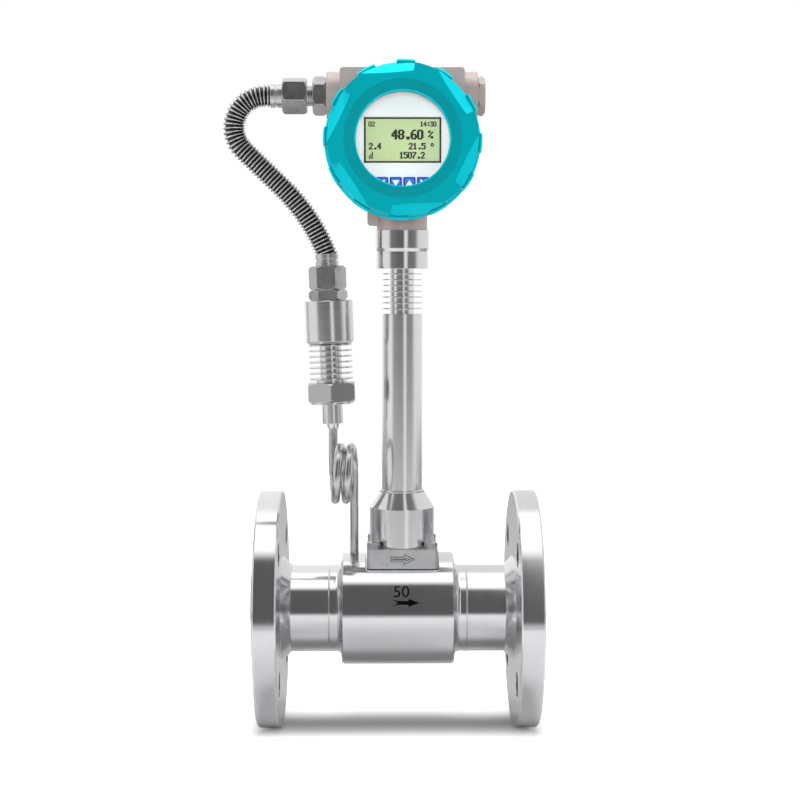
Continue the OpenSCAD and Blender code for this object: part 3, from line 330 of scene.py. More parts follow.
def moulded(name, colour, shade, rough, grain=0.0006, relief=0.05, painted_glow=0.0, gloss=0.3):
    """Plastic, film or rubber with a fine surface, and a painted glow where one is given."""
    material, tree, shader, place = fresh(name)
    skin = group(tree, SKIN, {"Vector": place, "Size": grain}).outputs["Height"]
    hands = group(tree, HANDLING, {"Vector": place, "Size": 0.015}).outputs["Mask"]
    shader.inputs["Specular IOR Level"].default_value = gloss
    # Painted glow: emission in the part's own colour, though the part is no lamp
    if painted_glow:
        shader.inputs["Emission Color"].default_value = colour
        shader.inputs["Emission Strength"].default_value = painted_glow
    join(tree, shader, mixed(tree, hands, shade, colour), ranged(tree, hands, rough, rough + 0.08),
        skin, relief)
    return material


def display_pane():
    """Backlit pane with the faint grid of its dots."""
    material, tree, shader, place = fresh("display_pane")
    parts = put(tree, "ShaderNodeSeparateXYZ", {0: place})
    pitch, dot_share = 0.00043, 0.85
    across = calc(tree, "FRACT", calc(tree, "DIVIDE", parts.outputs[0], pitch))
    upwards = calc(tree, "FRACT", calc(tree, "DIVIDE", parts.outputs[2], pitch))
    grid = calc(tree, "GREATER_THAN", calc(tree, "MAXIMUM", across, upwards), dot_share)
    hands = group(tree, HANDLING, {"Vector": place, "Size": 0.03}).outputs["Mask"]
    tone = mixed(tree, hands, srgb(203, 222, 156), srgb(214, 230, 172))
    faint = mixed(tree, calc(tree, "MULTIPLY", grid, 0.25), tone, srgb(186, 206, 140))
    shader.inputs["Roughness"].default_value = 0.35
    shader.inputs["Emission Strength"].default_value = 0.12
    tree.links.new(faint, shader.inputs["Emission Color"])
    join(tree, shader, faint)
    return material


def circuit_board():
    """Solder mask with lighter traces."""
    material, tree, shader, place = fresh("circuit_board")
    flat = put(tree, "ShaderNodeMapping", {"Vector": place, **HEAD}).outputs[0]
    tracks = put(tree, "ShaderNodeTexBrick", {"Vector": flat, "Scale": 220.0, "Mortar Size": 0.05,
        "Color1": srgb(18, 92, 52), "Color2": srgb(24, 104, 60), "Mortar": srgb(70, 150, 96)})
    hands = group(tree, HANDLING, {"Vector": place, "Size": 0.01}).outputs["Mask"]
    join(tree, shader, tracks.outputs["Color"], ranged(tree, hands, 0.3, 0.45), tracks.outputs["Fac"], 0.2)
    return material


def clear_glass():
    """Thick clear window that lets the light of the lamps through."""
    material, tree, shader, place = fresh("clear_glass")
    shader.inputs["Transmission Weight"].default_value = 1.0
    shader.inputs["IOR"].default_value = 1.45
    hands = group(tree, HANDLING, {"Vector": place, "Size": 0.02}).outputs["Mask"]
    tint = mixed(tree, hands, srgb(250, 253, 252), srgb(255, 255, 255))
    join(tree, shader, tint, ranged(tree, hands, 0.0, 0.015))
    path = put(tree, "ShaderNodeLightPath")
    through = calc(tree, "MAXIMUM", path.outputs["Is Shadow Ray"], path.outputs["Is Diffuse Ray"])
    clear = put(tree, "ShaderNodeBsdfTransparent")
    either = put(tree, "ShaderNodeMixShader", {0: through, 1: shader.outputs[0], 2: clear.outputs[0]})
    tree.links.new(either.outputs[0], tree.nodes["Material Output"].inputs["Surface"])
    return material


def hose_steel():
    """Corrugated hose, with a painted highlight on the crests and painted shade in the roots."""
    material, tree, shader, place = fresh("hose_steel")
    crest = put(tree, "ShaderNodeAttribute", attribute_name="crest").outputs["Fac"]
    hands = group(tree, HANDLING, {"Vector": place, "Size": 0.006}).outputs["Mask"]
    skin = group(tree, SKIN, {"Vector": place, "Size": 0.0005}).outputs["Height"]
    ridge = calc(tree, "POWER", crest, 2.0)
    # Painted highlight on the crests and painted shade in the roots, by the crest attribute
    tone = mixed(tree, ridge, srgb(78, 77, 78), srgb(252, 252, 252))
    wear_and_glint = mixed(tree, calc(tree, "MULTIPLY", hands, 0.25), tone, srgb(150, 149, 150))
    shader.inputs["Metallic"].default_value = 1.0
    join(tree, shader, wear_and_glint, ranged(tree, hands, 0.2, 0.32), skin, 0.08)
    return material


# Metals: their light and dark tones, and their roughness from the smoothest to the roughest place
BRIGHT, SILVER = srgb(236, 236, 238), srgb(220, 220, 222)
tube_polished = turned_metal("tube_polished", TUBE, BRIGHT, SILVER, 0.07, 0.15)
flange_turned = turned_metal("flange_turned", TUBE, BRIGHT, SILVER, 0.08, 0.16, density=1400.0, edge=0.0008)
stem_polished = turned_metal("stem_polished", STEM, srgb(242, 242, 243), srgb(224, 224, 226), 0.10, 0.20)
stem_satin = turned_metal("stem_satin", STEM, srgb(246, 246, 247), srgb(232, 232, 234), 0.16, 0.24)
cell_turned = turned_metal("cell_turned", CELL, BRIGHT, SILVER, 0.12, 0.24, density=1100.0)
# Places of the cell's foot and of its milled hexagon, along the cell's own axis
CELL_FOOT = math.cos(CELL_TILT) * CELL_Z - math.sin(CELL_TILT) * CELL_X
HEXAGON_START, HEXAGON_END = CELL_FOOT + 0.0189, CELL_FOOT + 0.0322
cell_finned = turned_metal("cell_finned", CELL, BRIGHT, SILVER, 0.12, 0.24, density=1100.0,
    milled=(HEXAGON_START, HEXAGON_END, srgb(190, 190, 191)))
ferrule_pressed = plain_metal("ferrule_pressed", srgb(226, 226, 228), srgb(196, 196, 198), 0.22, 0.34,
    grain=0.002, relief=0.5)
nut_steel = plain_metal("nut_steel", srgb(204, 203, 203), srgb(190, 189, 189), 0.2, 0.27,
    grain=0.0008, relief=0.04)
bolt_steel = plain_metal("bolt_steel", srgb(196, 196, 197), srgb(160, 160, 162), 0.2, 0.34, grain=0.0008)
base_cast = plain_metal("base_cast", srgb(228, 228, 230), srgb(208, 208, 210), 0.46, 0.58,
    grain=0.0009, relief=0.45)
siphon_drawn = plain_metal("siphon_drawn", srgb(214, 213, 212), srgb(196, 195, 194), 0.16, 0.26,
    grain=0.0007, relief=0.06)
brass = plain_metal("brass", srgb(214, 178, 98), srgb(188, 150, 78), 0.2, 0.34)

# Paint, plastic, film, ink and rubber: their colour and shade, and their roughness
housing_paint = paint("housing_paint", srgb(170, 154, 148), srgb(162, 146, 140), 0.42)
# The white plate glows a little: painted light
plate_film = moulded("plate_film", srgb(250, 250, 250), srgb(244, 244, 244), 0.4, painted_glow=0.32)
black_moulding = moulded("black_moulding", srgb(18, 18, 19), srgb(11, 11, 12), 0.38)
# The key caps glow a little: painted light
key_caps = moulded("key_caps", srgb(8, 112, 232), srgb(4, 96, 210), 0.28, painted_glow=0.3)
print_black = moulded("print_black", srgb(10, 10, 11), srgb(5, 5, 6), 0.5, gloss=0.04)
arrow_shade = moulded("arrow_shade", srgb(78, 78, 80), srgb(60, 60, 62), 0.5)
# The white signs glow a little: painted light
print_white = moulded("print_white", srgb(250, 250, 250), srgb(240, 240, 240), 0.4, painted_glow=0.4)
dot_ink = moulded("dot_ink", srgb(20, 26, 20), srgb(12, 16, 12), 0.5)
rubber = moulded("rubber", srgb(30, 30, 31), srgb(20, 20, 21), 0.6, grain=0.0004, relief=0.15)
graphite = moulded("graphite", srgb(62, 62, 64), srgb(46, 46, 48), 0.5, relief=0.2)
cover_paint = cover_enamel()
board = circuit_board()
glass = clear_glass()
pane = display_pane()
corrugated = hose_steel()

# The finish of each CAD piece
DRESS = {
    tube_polished: ["inlet_pipe", "outlet_pipe", "meter_body", "shedder_bar"],
    flange_turned: ["inlet_flange", "outlet_flange"],
    stem_polished: ["bonnet", "stem_collar", "sensor_probe"],
    stem_satin: ["stem"],
    cell_turned: ["pressure_casing", "siphon_nipple"],
    cell_finned: ["pressure_cell"],
    ferrule_pressed: ["upper_ferrule", "lower_ferrule"],
    nut_steel: ["hose_adapter", "upper_nut", "lower_nut", "casing_cap"],
    bolt_steel: ["base_bolts", "lock_screw", "plate_screws"],
    base_cast: ["sensor_base"],
    siphon_drawn: ["siphon_tube"],
    housing_paint: ["housing", "blanking_plug"],
    cover_paint: ["front_cover", "rear_cover"],
    plate_film: ["display_plate"],
    black_moulding: ["lcd_frame", "terminal_block", "window_ring", "probe_lead"],
    key_caps: ["key_left", "key_down", "key_up", "key_right"],
    rubber: ["front_seal", "rear_seal"],
    graphite: ["base_gasket"],
    brass: ["board_spacers", "terminal_screws"],
    board: ["display_board", "amplifier_board"],
    glass: ["window_glass"],
    pane: ["lcd_panel"],
    corrugated: ["flexible_hose"],
}
for finish, names in DRESS.items():
    for name in names:
        for slot in nodes[name].material_slots:
            slot.material = finish

# The bright metal doesn't mirror the covers' colour
for name in ("front_cover", "rear_cover"):
    nodes[name].visible_glossy = False

# Geometry trees for what repeats or follows a path


def geometry_tree(name, inputs):
    """A new tree with its input and output nodes. Inputs are (name, socket), before the material's."""
    tree = bpy.data.node_groups.new(name, "GeometryNodeTree")
    tree.interface.new_socket(name="Geometry", in_out="INPUT", socket_type="NodeSocketGeometry")
    for title, socket in (*inputs, ("Material", "NodeSocketMaterial")):
        tree.interface.new_socket(name=title, in_out="INPUT", socket_type=socket)
    tree.interface.new_socket(name="Geometry", in_out="OUTPUT", socket_type="NodeSocketGeometry")
    return tree, put(tree, "NodeGroupInput"), put(tree, "NodeGroupOutput")


def finish_tree(tree, given, result, geometry):
    """Real instances and the material, at the end of each tree."""
    real = put(tree, "GeometryNodeRealizeInstances", {0: geometry}).outputs[0]
    done = put(tree, "GeometryNodeSetMaterial", {"Geometry": real, "Material": given.outputs["Material"]})
    tree.links.new(done.outputs[0], result.inputs[0])


def circle(tree, corners, radius):
    """A round profile."""
    sizes = {"Resolution": corners, "Radius": radius}
    return put(tree, "GeometryNodeCurvePrimitiveCircle", sizes).outputs[0]


def sweep(tree, given, result, curve, profile, **scale):
    """A profile run along a curve, with closed ends and smooth sides, at the end of a tree."""
    tube = put(tree, "GeometryNodeCurveToMesh",
        {"Curve": curve, "Profile Curve": profile, "Fill Caps": True, **scale})
    smooth = put(tree, "GeometryNodeSetShadeSmooth", {"Geometry": tube.outputs[0]})
    finish_tree(tree, given, result, smooth.outputs[0])


def grown(name, seed, tree, **values):
    """An object whose mesh is what the tree makes of the seed mesh."""
    made = object_of(name, seed)
    modifier = made.modifiers.new("grow", "NODES")
    modifier.node_group = tree
    for item in tree.interface.items_tree:
        if item.item_type == "SOCKET" and item.in_out == "INPUT" and item.name in values:
            modifier[item.identifier] = values[item.name]
    graph = bpy.context.evaluated_depsgraph_get()
    graph.update()
    mesh = bpy.data.meshes.new_from_object(made.evaluated_get(graph))
    made.modifiers.clear()
    made.data = mesh
    return made


def line_mesh(name, points):
    """A mesh of edges from point to point."""
    mesh = bpy.data.meshes.new(name)
    mesh.from_pydata(points, [(i, i + 1) for i in range(len(points) - 1)], [])
    return mesh


# Hose, with its gap to the ferrules and the height of the lower ferrule's top along the cell
FIT_GAP = 0.00015
FERRULE_TOP = 0.1210
HOSE_R, HOSE_ROOT_R = 0.0078, 0.0059


def hose_points():
    """The hose's middle line: a lead, a bend, a straight that touches both bends, and a wide bend."""
    lead, upper_r, lower_r, tucked_in = 0.0035, 0.0215, 0.135, 0.0025
    upper_steps, lower_steps = 26, 14
    start = Vector((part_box("upper_ferrule")[0][0] - FIT_GAP, CONDUIT_Z))
    reach = FERRULE_TOP + FIT_GAP
    end = Vector((CELL_X - reach * math.sin(CELL_TILT), CELL_Z + reach * math.cos(CELL_TILT)))
    # The lower end runs down, 22 degrees off the upright
    end_course = math.radians(22 - 90)
    upper = start - Vector((lead, upper_r))
    lower = end + lower_r * Vector((math.sin(end_course), -math.cos(end_course)))
    between = lower - upper
    straight = math.atan2(between.y, between.x) + math.asin((upper_r + lower_r) / between.length)
    line = [start]
    for i in range(upper_steps + 1):
        course = math.pi + (math.pi + straight) * i / upper_steps
        line.append(upper + upper_r * Vector((math.sin(course), -math.cos(course))))
    for i in range(lower_steps + 1):
        course = straight + (end_course - straight) * i / lower_steps
        line.append(lower + lower_r * Vector((-math.sin(course), math.cos(course))))
    line.append(end + tucked_in * Vector((math.cos(end_course), math.sin(end_course))))
    return [(p.x, 0.0, p.y) for p in line]


def hose_tree():
    """A tube with round crests along a line, and the crests kept as an attribute."""
    tree, given, result = geometry_tree("corrugated_hose", [("Crests", "NodeSocketInt"),
        ("Outer radius", "NodeSocketFloat"), ("Root radius", "NodeSocketFloat")])
    line = put(tree, "GeometryNodeMeshToCurve", {0: given.outputs["Geometry"]})
    steps_per_crest = 10.0
    count = calc(tree, "MULTIPLY_ADD", given.outputs["Crests"], steps_per_crest, 1.0)
    fine = put(tree, "GeometryNodeResampleCurve", {"Curve": line.outputs[0], "Count": count})
    along = put(tree, "GeometryNodeSplineParameter").outputs["Factor"]
    turn = calc(tree, "MULTIPLY", calc(tree, "MULTIPLY", along, given.outputs["Crests"]), 2 * math.pi)
    wave = calc(tree, "MULTIPLY_ADD", calc(tree, "COSINE", turn), -0.5, 0.5)
    crest = calc(tree, "POWER", wave, 0.8)
    named = put(tree, "GeometryNodeStoreNamedAttribute",
        {"Geometry": fine.outputs[0], "Name": "crest", "Value": crest}, data_type="FLOAT", domain="POINT")
    depth = calc(tree, "SUBTRACT", given.outputs["Outer radius"], given.outputs["Root radius"])
    radius = calc(tree, "MULTIPLY_ADD", crest, depth, given.outputs["Root radius"])
    sweep(tree, given, result, named.outputs[0], circle(tree, 28, 1.0), Scale=radius)
    return tree


route = hose_points()
hose = grown("hose", line_mesh("hose_line", route), hose_tree(),
    **{"Crests": 57, "Outer radius": HOSE_R, "Root radius": HOSE_ROOT_R, "Material": corrugated})
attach(hose, "meter")
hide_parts("flexible_hose")

# Siphon


def siphon_points():
    """The siphon's middle line: down from the cell, round the coil and down into the body."""
    radius, turns, steps = 0.018, 2, 120
    coil_drop = 0.0297
    coil_z = CELL_Z - coil_drop
    line = [(CELL_X, 0.0, CELL_Z)]
    for i in range(steps + 1):
        angle = 2 * math.pi * turns * i / steps
        line.append((CELL_X + (TAP_X - CELL_X) * i / steps, radius * math.cos(angle) - radius,
            coil_z - radius * math.sin(angle)))
    line.append((TAP_X, 0.0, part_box("siphon_tube")[0][2]))
    return line


def siphon_tree():
    """A plain round tube along a line."""
    tree, given, result = geometry_tree("bent_tube", [("Radius", "NodeSocketFloat")])
    line = put(tree, "GeometryNodeMeshToCurve", {0: given.outputs["Geometry"]})
    sweep(tree, given, result, line.outputs[0], circle(tree, 24, given.outputs["Radius"]))
    return tree


siphon = grown("siphon", line_mesh("siphon_line", siphon_points()), siphon_tree(),
    Radius=0.003, Material=siphon_drawn)
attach(siphon, "meter")
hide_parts("siphon_tube")

# Screw threads


def thread_tree():
    """A ridge wound round the Z axis, from the origin up."""
    tree, given, result = geometry_tree("screw_thread",
        [(title, "NodeSocketFloat") for title in ("Radius", "Pitch", "Turns", "Ridge")])
    height = calc(tree, "MULTIPLY", given.outputs["Pitch"], given.outputs["Turns"])
    spiral = put(tree, "GeometryNodeCurveSpiral", {"Resolution": 48, "Rotations": given.outputs["Turns"],
        "Start Radius": given.outputs["Radius"], "End Radius": given.outputs["Radius"], "Height": height})
    sweep(tree, given, result, spiral.outputs[0], circle(tree, 8, given.outputs["Ridge"]))
    return tree


THREAD = thread_tree()


def thread(name, radius, pitch, turns, ridge, finish, foot, along):
    """A thread on a cylinder, from its foot point along an axis, with its ridge partly sunk in."""
    sunk = 0.6
    made = grown(name, bpy.data.meshes.new(name), THREAD, Radius=radius - ridge * sunk, Pitch=pitch,
        Turns=turns, Ridge=ridge, Material=finish)
    turn = Vector((0, 0, 1)).rotation_difference(Vector(along)).to_matrix().to_4x4()
    made.data.transform(Matrix.Translation(foot) @ turn)
    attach(made, "meter")


# Distances from the stem's axis to the feet of the adapter's and the covers' threads
ADAPTER_FOOT, COVER_FOOT = 0.0618, 0.0262
thread("adapter_thread", radius=0.00675, pitch=0.0015, turns=2.2, ridge=0.0006, finish=nut_steel,
    foot=(STEM_X - ADAPTER_FOOT, 0, CONDUIT_Z), along=(-1, 0, 0))
for name, side in (("front_thread", -1), ("rear_thread", 1)):
    thread(name, radius=0.0455, pitch=0.002, turns=4.6, ridge=0.0004, finish=bolt_steel,
        foot=(STEM_X, side * COVER_FOOT, HEAD_Z), along=(0, side, 0))

# Printing on the body


def flat_text(words, width):
    """The faces of plain lettering, centred, with its width given."""
    curve = bpy.data.curves.new("lettering", "FONT")
    curve.body = words
    curve.align_x = "CENTER"
    curve.align_y = "CENTER"
    holder = object_of("lettering", curve)
    bpy.context.view_layer.update()
    mesh = bpy.data.meshes.new_from_object(holder.evaluated_get(bpy.context.evaluated_depsgraph_get()))
    bpy.data.objects.remove(holder)
    xs = [v.co.x for v in mesh.vertices]
    ys = [v.co.y for v in mesh.vertices]
    size = width / (max(xs) - min(xs))
    centre = Vector(((max(xs) + min(xs)) / 2, (max(ys) + min(ys)) / 2, 0))
    for v in mesh.vertices:
        v.co = (v.co - centre) * size
    return mesh


def flat_shape(name, outline):
    """A mesh of one face within an outline."""
    mesh = bpy.data.meshes.new(name)
    mesh.from_pydata([(x, y, 0) for x, y in outline], [], [list(range(len(outline)))])
    return mesh


def wrap_on_body(name, mesh, x, rise):
    """Lays a flat mesh round the front of the body, its middle at a rise in degrees above the front."""
    proud = 0.00006
    shape = bmesh.new()
    shape.from_mesh(mesh)
    bmesh.ops.remove_doubles(shape, verts=shape.verts, dist=1e-7)
    low = min(v.co.y for v in shape.verts)
    high = max(v.co.y for v in shape.verts)
    steps = 12
    for i in range(1, steps):
        cut = (0, low + (high - low) * i / steps, 0)
        bmesh.ops.bisect_plane(shape, geom=shape.verts[:] + shape.edges[:] + shape.faces[:],
            plane_co=cut, plane_no=(0, 1, 0))
    for v in shape.verts:
        angle = math.radians(rise) + v.co.y / BODY_R
        radius = BODY_R + proud
        v.co = (x + v.co.x, -radius * math.cos(angle), radius * math.sin(angle))
    bmesh.ops.recalc_face_normals(shape, faces=shape.faces)
    if sum((f.normal.y for f in shape.faces)) > 0:
        bmesh.ops.reverse_faces(shape, faces=shape.faces)
    shape.to_mesh(mesh)
    shape.free()
    mesh.materials.clear()
    mesh.materials.append(print_black)
    made = object_of(name, mesh)
    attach(made, "meter")


def flow_arrow():
    """Solid arrow with a notched tail."""
    half, wing, neck, shaft = 0.0095, 0.0027, 0.0020, 0.0013
    tail, notch = -half + 0.0035, -half + 0.0042
    return flat_shape("flow_arrow", [(-half, -wing), (tail, -shaft), (neck, -shaft), (neck, -wing),
        (half, 0), (neck, wing), (neck, shaft), (tail, shaft), (-half, wing), (notch, 0)])


wrap_on_body("size_number", flat_text("50", width=0.0105), x=BODY_X + 0.0023, rise=27.5)
wrap_on_body("flow_arrow", flow_arrow(), x=BODY_X + 0.005, rise=16.0)

# Readings on the display, made of the dots of a plain five by seven type, with bars for the signal
DOTS = {
    "0": (14, 17, 17, 17, 17, 17, 14), "1": (4, 12, 4, 4, 4, 4, 14), "2": (14, 17, 1, 2, 4, 8, 31),
    "3": (31, 2, 4, 2, 1, 17, 14), "4": (2, 6, 10, 18, 31, 2, 2), "5": (31, 16, 30, 1, 1, 17, 14),
    "6": (6, 8, 16, 30, 17, 17, 14), "7": (31, 1, 2, 4, 8, 8, 8), "8": (14, 17, 17, 14, 17, 17, 14),
    "9": (14, 17, 17, 15, 1, 2, 12), ".": (0, 0, 0, 0, 0, 6, 6), ":": (0, 6, 6, 0, 6, 6, 0),
    "%": (24, 25, 2, 4, 8, 19, 3), "°": (12, 18, 18, 12, 0, 0, 0), "|": (1, 1, 5, 5, 21, 21, 21)}


def dot_tree():
    """A flat dot on each point."""
    tree, given, result = geometry_tree("display_dots",
        [(title, "NodeSocketFloat") for title in ("Width", "Height", "Thickness")])
    size = put(tree, "ShaderNodeCombineXYZ",
        {0: given.outputs["Width"], 1: given.outputs["Thickness"], 2: given.outputs["Height"]})
    dot = put(tree, "GeometryNodeMeshCube", {"Size": size.outputs[0]})
    laid = put(tree, "GeometryNodeInstanceOnPoints",
        {"Points": given.outputs["Geometry"], "Instance": dot.outputs["Mesh"]})
    finish_tree(tree, given, result, laid.outputs[0])
    return tree


DOT = dot_tree()


def reading(name, words, height, left, level, bold):
    """A row of figures from its left end, its middle at a level over the head's axis, with bold dots."""
    tall, wide = height / 7, height * 0.11
    thickness, proud, overlap = 0.00008, 0.00001, 1.2
    x, y, z = STEM_X + left, PANE_Y - thickness / 2 - proud, HEAD_Z + level + height / 2
    points = []
    for place, figure in enumerate(words):
        for row, bits in enumerate(DOTS[figure]):
            for column in range(5):
                if bits >> (4 - column) & 1:
                    points.append((x + (place * 6 + column + 0.5) * wide, y, z - (row + 0.5) * tall))
    mesh = bpy.data.meshes.new(name)
    mesh.from_pydata(points, [], [])
    made = grown(name, mesh, DOT, Width=wide * bold, Height=tall * overlap, Thickness=thickness,
        Material=dot_ink)
    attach(made, "meter")


# Levels of the four rows, and the left end of those that start at the edge
TOP_ROW, RATE_ROW, LOW_ROW, TOTAL_ROW = 0.0105, 0.0036, -0.0041, -0.0101
LEFT_END = -0.0224
reading("reading_channel", "02", 0.0033, -0.0226, TOP_ROW, 2.3)
reading("reading_time", "14:30", 0.0033, 0.0118, TOP_ROW, 2.3)
reading("reading_rate", "48.60", 0.0064, -0.0070, RATE_ROW, 2.4)
reading("reading_share", "%", 0.0052, 0.0172, RATE_ROW, 2.0)
reading("reading_left", "2.4", 0.0043, LEFT_END, LOW_ROW, 2.3)
reading("reading_right", "21.5", 0.0043, 0.0042, LOW_ROW, 2.3)
reading("reading_degree", "°", 0.0043, 0.0188, LOW_ROW, 1.8)
reading("reading_bars", "|", 0.0046, LEFT_END, TOTAL_ROW, 1.3)
reading("reading_total", "1507.2", 0.0043, -0.0020, TOTAL_ROW, 2.3)

# Signs and borders on the keys, and the arrow on the base


def on_key(name, body, outlines, proud, finish):
    """Flat shapes on a key's cap, from outlines in metres about its middle."""
    x, front, z = middle(body, 0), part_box(body)[0][1], middle(body, 2)
    mesh = bpy.data.meshes.new(name)
    points, faces = [], []
    for outline in outlines:
        faces.append([len(points) + i for i in range(len(outline))])
        points += [(x + u, front - proud, z + v) for u, v in outline]
    mesh.from_pydata(points, [], faces)
    mesh.materials.append(finish)
    made = object_of(name, mesh)
    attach(made, body)


def grown_outline(outline, by):
    """An outline that runs anticlockwise, moved outwards by a distance with its corners sharp."""
    moved = []
    corners = [Vector(corner) for corner in outline]
    for before, here, after in zip(corners[-1:] + corners, corners, corners[1:] + corners[:1]):
        come, leave = (here - before).normalized(), (after - here).normalized()
        first, second = Vector((come.y, -come.x)), Vector((leave.y, -leave.x))
        moved.append(here + (first + second) * by / (1 + first.dot(second)))
    return moved


def base_arrow():
    """Shade lines on the sensor base, outside and inside its raised arrow."""
    half, neck, shaft, wing = 0.0075, 0.0015, 0.0014, 0.0031
    raised, proud = 0.0007, 0.00005
    arrow = [(-half, -shaft), (neck, -shaft), (neck, -wing), (half, 0),
        (neck, wing), (neck, shaft), (-half, shaft)]
    y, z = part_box("sensor_base")[0][1] + raised - proud, middle("sensor_base", 2)
    count = len(arrow)
    points, faces = [], []
    for near, far in ((0.0, 0.0005), (-0.0013, -0.0008)):
        start = len(points)
        points += [(STEM_X + u, y, z + v) for by in (near, far) for u, v in grown_outline(arrow, by)]
        faces += [(start + i, start + count + i, start + count + (i + 1) % count, start + (i + 1) % count)
                  for i in range(count)]
    mesh = bpy.data.meshes.new("base_arrow_shade")
    mesh.from_pydata(points, [], faces)
    mesh.materials.append(arrow_shade)
    made = object_of("base_arrow_shade", mesh)
    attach(made, "meter")


def turned_outline(outline, angle):
    """An outline turned about its middle."""
    c, s = math.cos(angle), math.sin(angle)
    return [(c * u - s * v, s * u + c * v) for u, v in outline]


def border(half, width):
    """Four strips that frame a square."""
    strip = [(-half, half - width), (half - width, half - width), (half - width, half), (-half, half)]
    return [turned_outline(strip, quarter * math.pi / 2) for quarter in range(4)]


SIGN = [(-0.0024, -0.0018), (0.0024, -0.0018), (0.0, 0.0020)]
for body, angle in (("key_left", 90), ("key_down", 180), ("key_up", 0), ("key_right", -90)):
    sign = turned_outline(SIGN, math.radians(angle))
    on_key(body + "_sign", body, [sign], proud=0.00006, finish=print_white)
    on_key(body + "_border", body, border(half=0.00355, width=0.00045), proud=0.00005, finish=print_black)
base_arrow()

# Floor, lamps and surroundings


def eased(tree, value, start, end):
    """A mask that rises softly from 0 to 1 between two values."""
    return put(tree, "ShaderNodeMapRange", {0: value, 1: start, 2: end},
        interpolation_type="SMOOTHSTEP").outputs[0]


def floor():
    """Pale paper that keeps the soft shadow under the meter, with a painted shadow of grey paper under and
    behind it, and is white to the camera beyond it.
    """
    left, right, near, far = -1.6, 1.8, -0.55, 1.6
    mesh = flat_shape("floor", [(left, near), (right, near), (right, far), (left, far)])
    mesh.transform(Matrix.Translation((0, 0, FLOOR_Z)))
    material, tree, shader, place = fresh("floor_paper")
    grain = group(tree, HANDLING, {"Vector": place, "Size": 0.25}).outputs["Mask"]
    spot = put(tree, "ShaderNodeSeparateXYZ", {0: place})
    # Painted shadow: the paper turns grey from about the meter's front to the back, deepening the shadow
    # and darkening what the metal mirrors
    under = eased(tree, spot.outputs[1], -0.05, -0.015)
    paper = mixed(tree, grain, srgb(228, 228, 228), srgb(234, 234, 234))
    join(tree, shader, mixed(tree, under, paper, srgb(178, 178, 178)), ranged(tree, grain, 0.8, 0.9))
    # The shadow's strip fades towards its ends and its sides
    from_middle = calc(tree, "ABSOLUTE", calc(tree, "SUBTRACT", spot.outputs[0], BODY_X))
    from_line = calc(tree, "ABSOLUTE", calc(tree, "SUBTRACT", spot.outputs[1], -0.001))
    clear = calc(tree, "MAXIMUM", eased(tree, from_middle, 0.08, 0.118), eased(tree, from_line, 0.0, 0.062))
    camera_only = calc(tree, "MULTIPLY", clear, put(tree, "ShaderNodeLightPath").outputs["Is Camera Ray"])
    shader.inputs["Emission Color"].default_value = (1, 1, 1, 1)
    tree.links.new(camera_only, shader.inputs["Emission Strength"])
    mesh.materials.append(material)
    made = object_of("floor", mesh)


def lamp(name, place, target, size, power):
    """A soft lamp that metal and glass don't mirror."""
    data = bpy.data.lights.new(name, "AREA")
    data.shape = "RECTANGLE"
    data.size, data.size_y = size
    data.energy = power
    made = object_of(name, data)
    made.location = place
    made.rotation_euler = (Vector(target) - Vector(place)).to_track_quat("-Z", "Y").to_euler()
    made.visible_glossy = False
    made.visible_transmission = False


def ramp(tree, value, stops):
    """A grey ramp of (place, brightness) stops, from 0 to 1."""
    node = put(tree, "ShaderNodeValToRGB", {0: value})
    line = node.color_ramp
    while len(line.elements) < len(stops):
        line.elements.new(0.5)
    for element, (place, grey) in zip(line.elements, stops):
        element.position = place
        element.color = (grey, grey, grey, 1)
    return node.outputs["Color"]


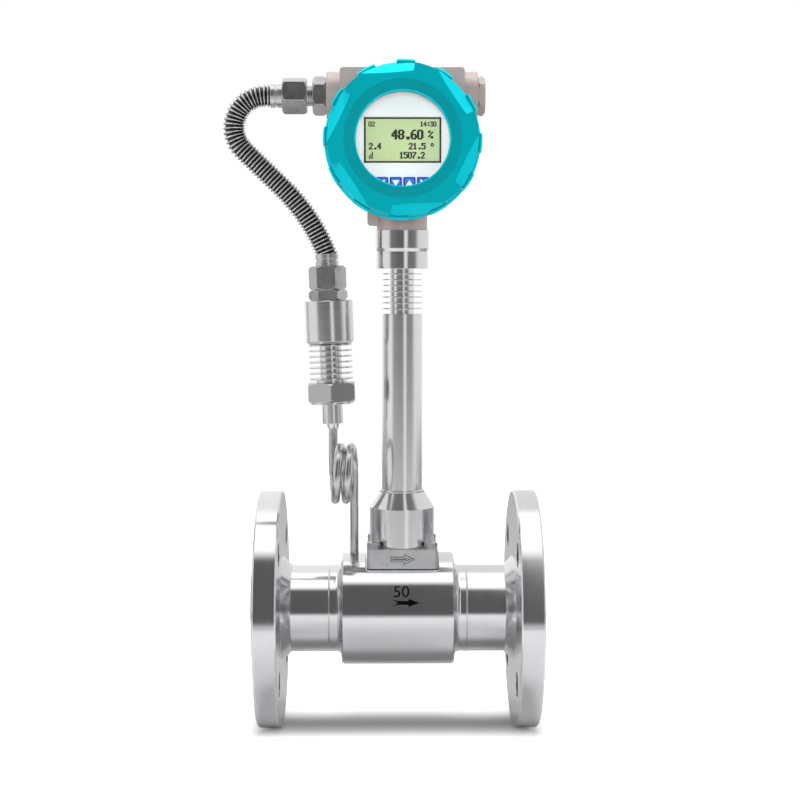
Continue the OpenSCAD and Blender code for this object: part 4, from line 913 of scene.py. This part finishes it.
def surroundings():
    """Studio with dark cards before the meter, light sides and a white backdrop that the camera sees."""
    world = bpy.data.worlds.new("studio")
    scene.world = world
    world.use_nodes = True
    tree = world.node_tree
    tree.nodes.clear()
    way = put(tree, "ShaderNodeSeparateXYZ", {0: put(tree, "ShaderNodeTexCoord").outputs["Generated"]})
    side = calc(tree, "ARCTAN2", way.outputs[0], calc(tree, "MULTIPLY", way.outputs[1], -1.0))
    turn = calc(tree, "MULTIPLY_ADD", side, 0.5 / math.pi, 0.5)
    rise = calc(tree, "MULTIPLY_ADD", calc(tree, "ARCSINE", way.outputs[2]), 1 / math.pi, 0.5)

    def at(degrees):
        """Place on the ramp round the meter, from the front and positive to the right."""
        return degrees / 360 + 0.5

    def up(degrees):
        """Place on the ramp from straight down to straight up, from the level."""
        return degrees / 180 + 0.5

    # Round the meter: light at the back and the sides, dark cards before it, and a light strip between them
    round_about = ramp(tree, turn, [(0.0, 1.0), (at(-136), 1.0), (at(-122), 0.35), (at(-108), 0.85),
        (at(-61), 0.84), (at(-49), 0.2), (at(-13), 0.11), (at(-8), 0.12), (at(7.5), 0.1), (at(10), 0.8),
        (at(20), 0.9), (at(27), 0.14), (at(58), 0.2), (at(76), 0.78), (1.0, 0.85)])
    overhead = ramp(tree, rise, [(0.0, 0.0), (up(57), 0.0), (up(67), 1.0), (1.0, 1.0)])
    below = ramp(tree, rise, [(0.0, 1.0), (up(-7), 1.0), (up(-3), 0.0), (1.0, 0.0)])
    lifted = mixed(tree, below, round_about, (0.62, 0.62, 0.62, 1), way="LIGHTEN")
    light = mixed(tree, overhead, lifted, (1.35, 1.35, 1.35, 1))
    path = put(tree, "ShaderNodeLightPath")
    seen = calc(tree, "MAXIMUM", path.outputs["Is Camera Ray"], path.outputs["Is Transmission Ray"])
    soft = mixed(tree, path.outputs["Is Diffuse Ray"], light, (0.18, 0.18, 0.18, 1))
    studio = put(tree, "ShaderNodeBackground", {"Color": soft, "Strength": 1.0})
    backdrop = put(tree, "ShaderNodeBackground", {"Color": (1, 1, 1, 1), "Strength": 1.0})
    either = put(tree, "ShaderNodeMixShader", {0: seen, 1: studio.outputs[0], 2: backdrop.outputs[0]})
    put(tree, "ShaderNodeOutputWorld", {"Surface": either.outputs[0]})


floor()
surroundings()
STEM_MIDDLE = (BODY_X, 0, 0.25)
lamp("overhead", (BODY_X, 0.2, 1.35), target=(BODY_X, 0, 0), size=(0.6, 0.45), power=14.0)
lamp("front_fill", (0.05, -1.75, 0.42), target=(BODY_X, 0, 0.28), size=(0.6, 0.5), power=10.5)
lamp("left_fill", (-1.3, -1.1, 0.95), target=STEM_MIDDLE, size=(0.8, 0.8), power=9.5)
lamp("right_fill", (1.5, -1.1, 0.95), target=STEM_MIDDLE, size=(0.8, 0.8), power=9.5)
lamp("back_fill", (0.3, 1.5, 0.95), target=STEM_MIDDLE, size=(0.8, 0.6), power=9.0)
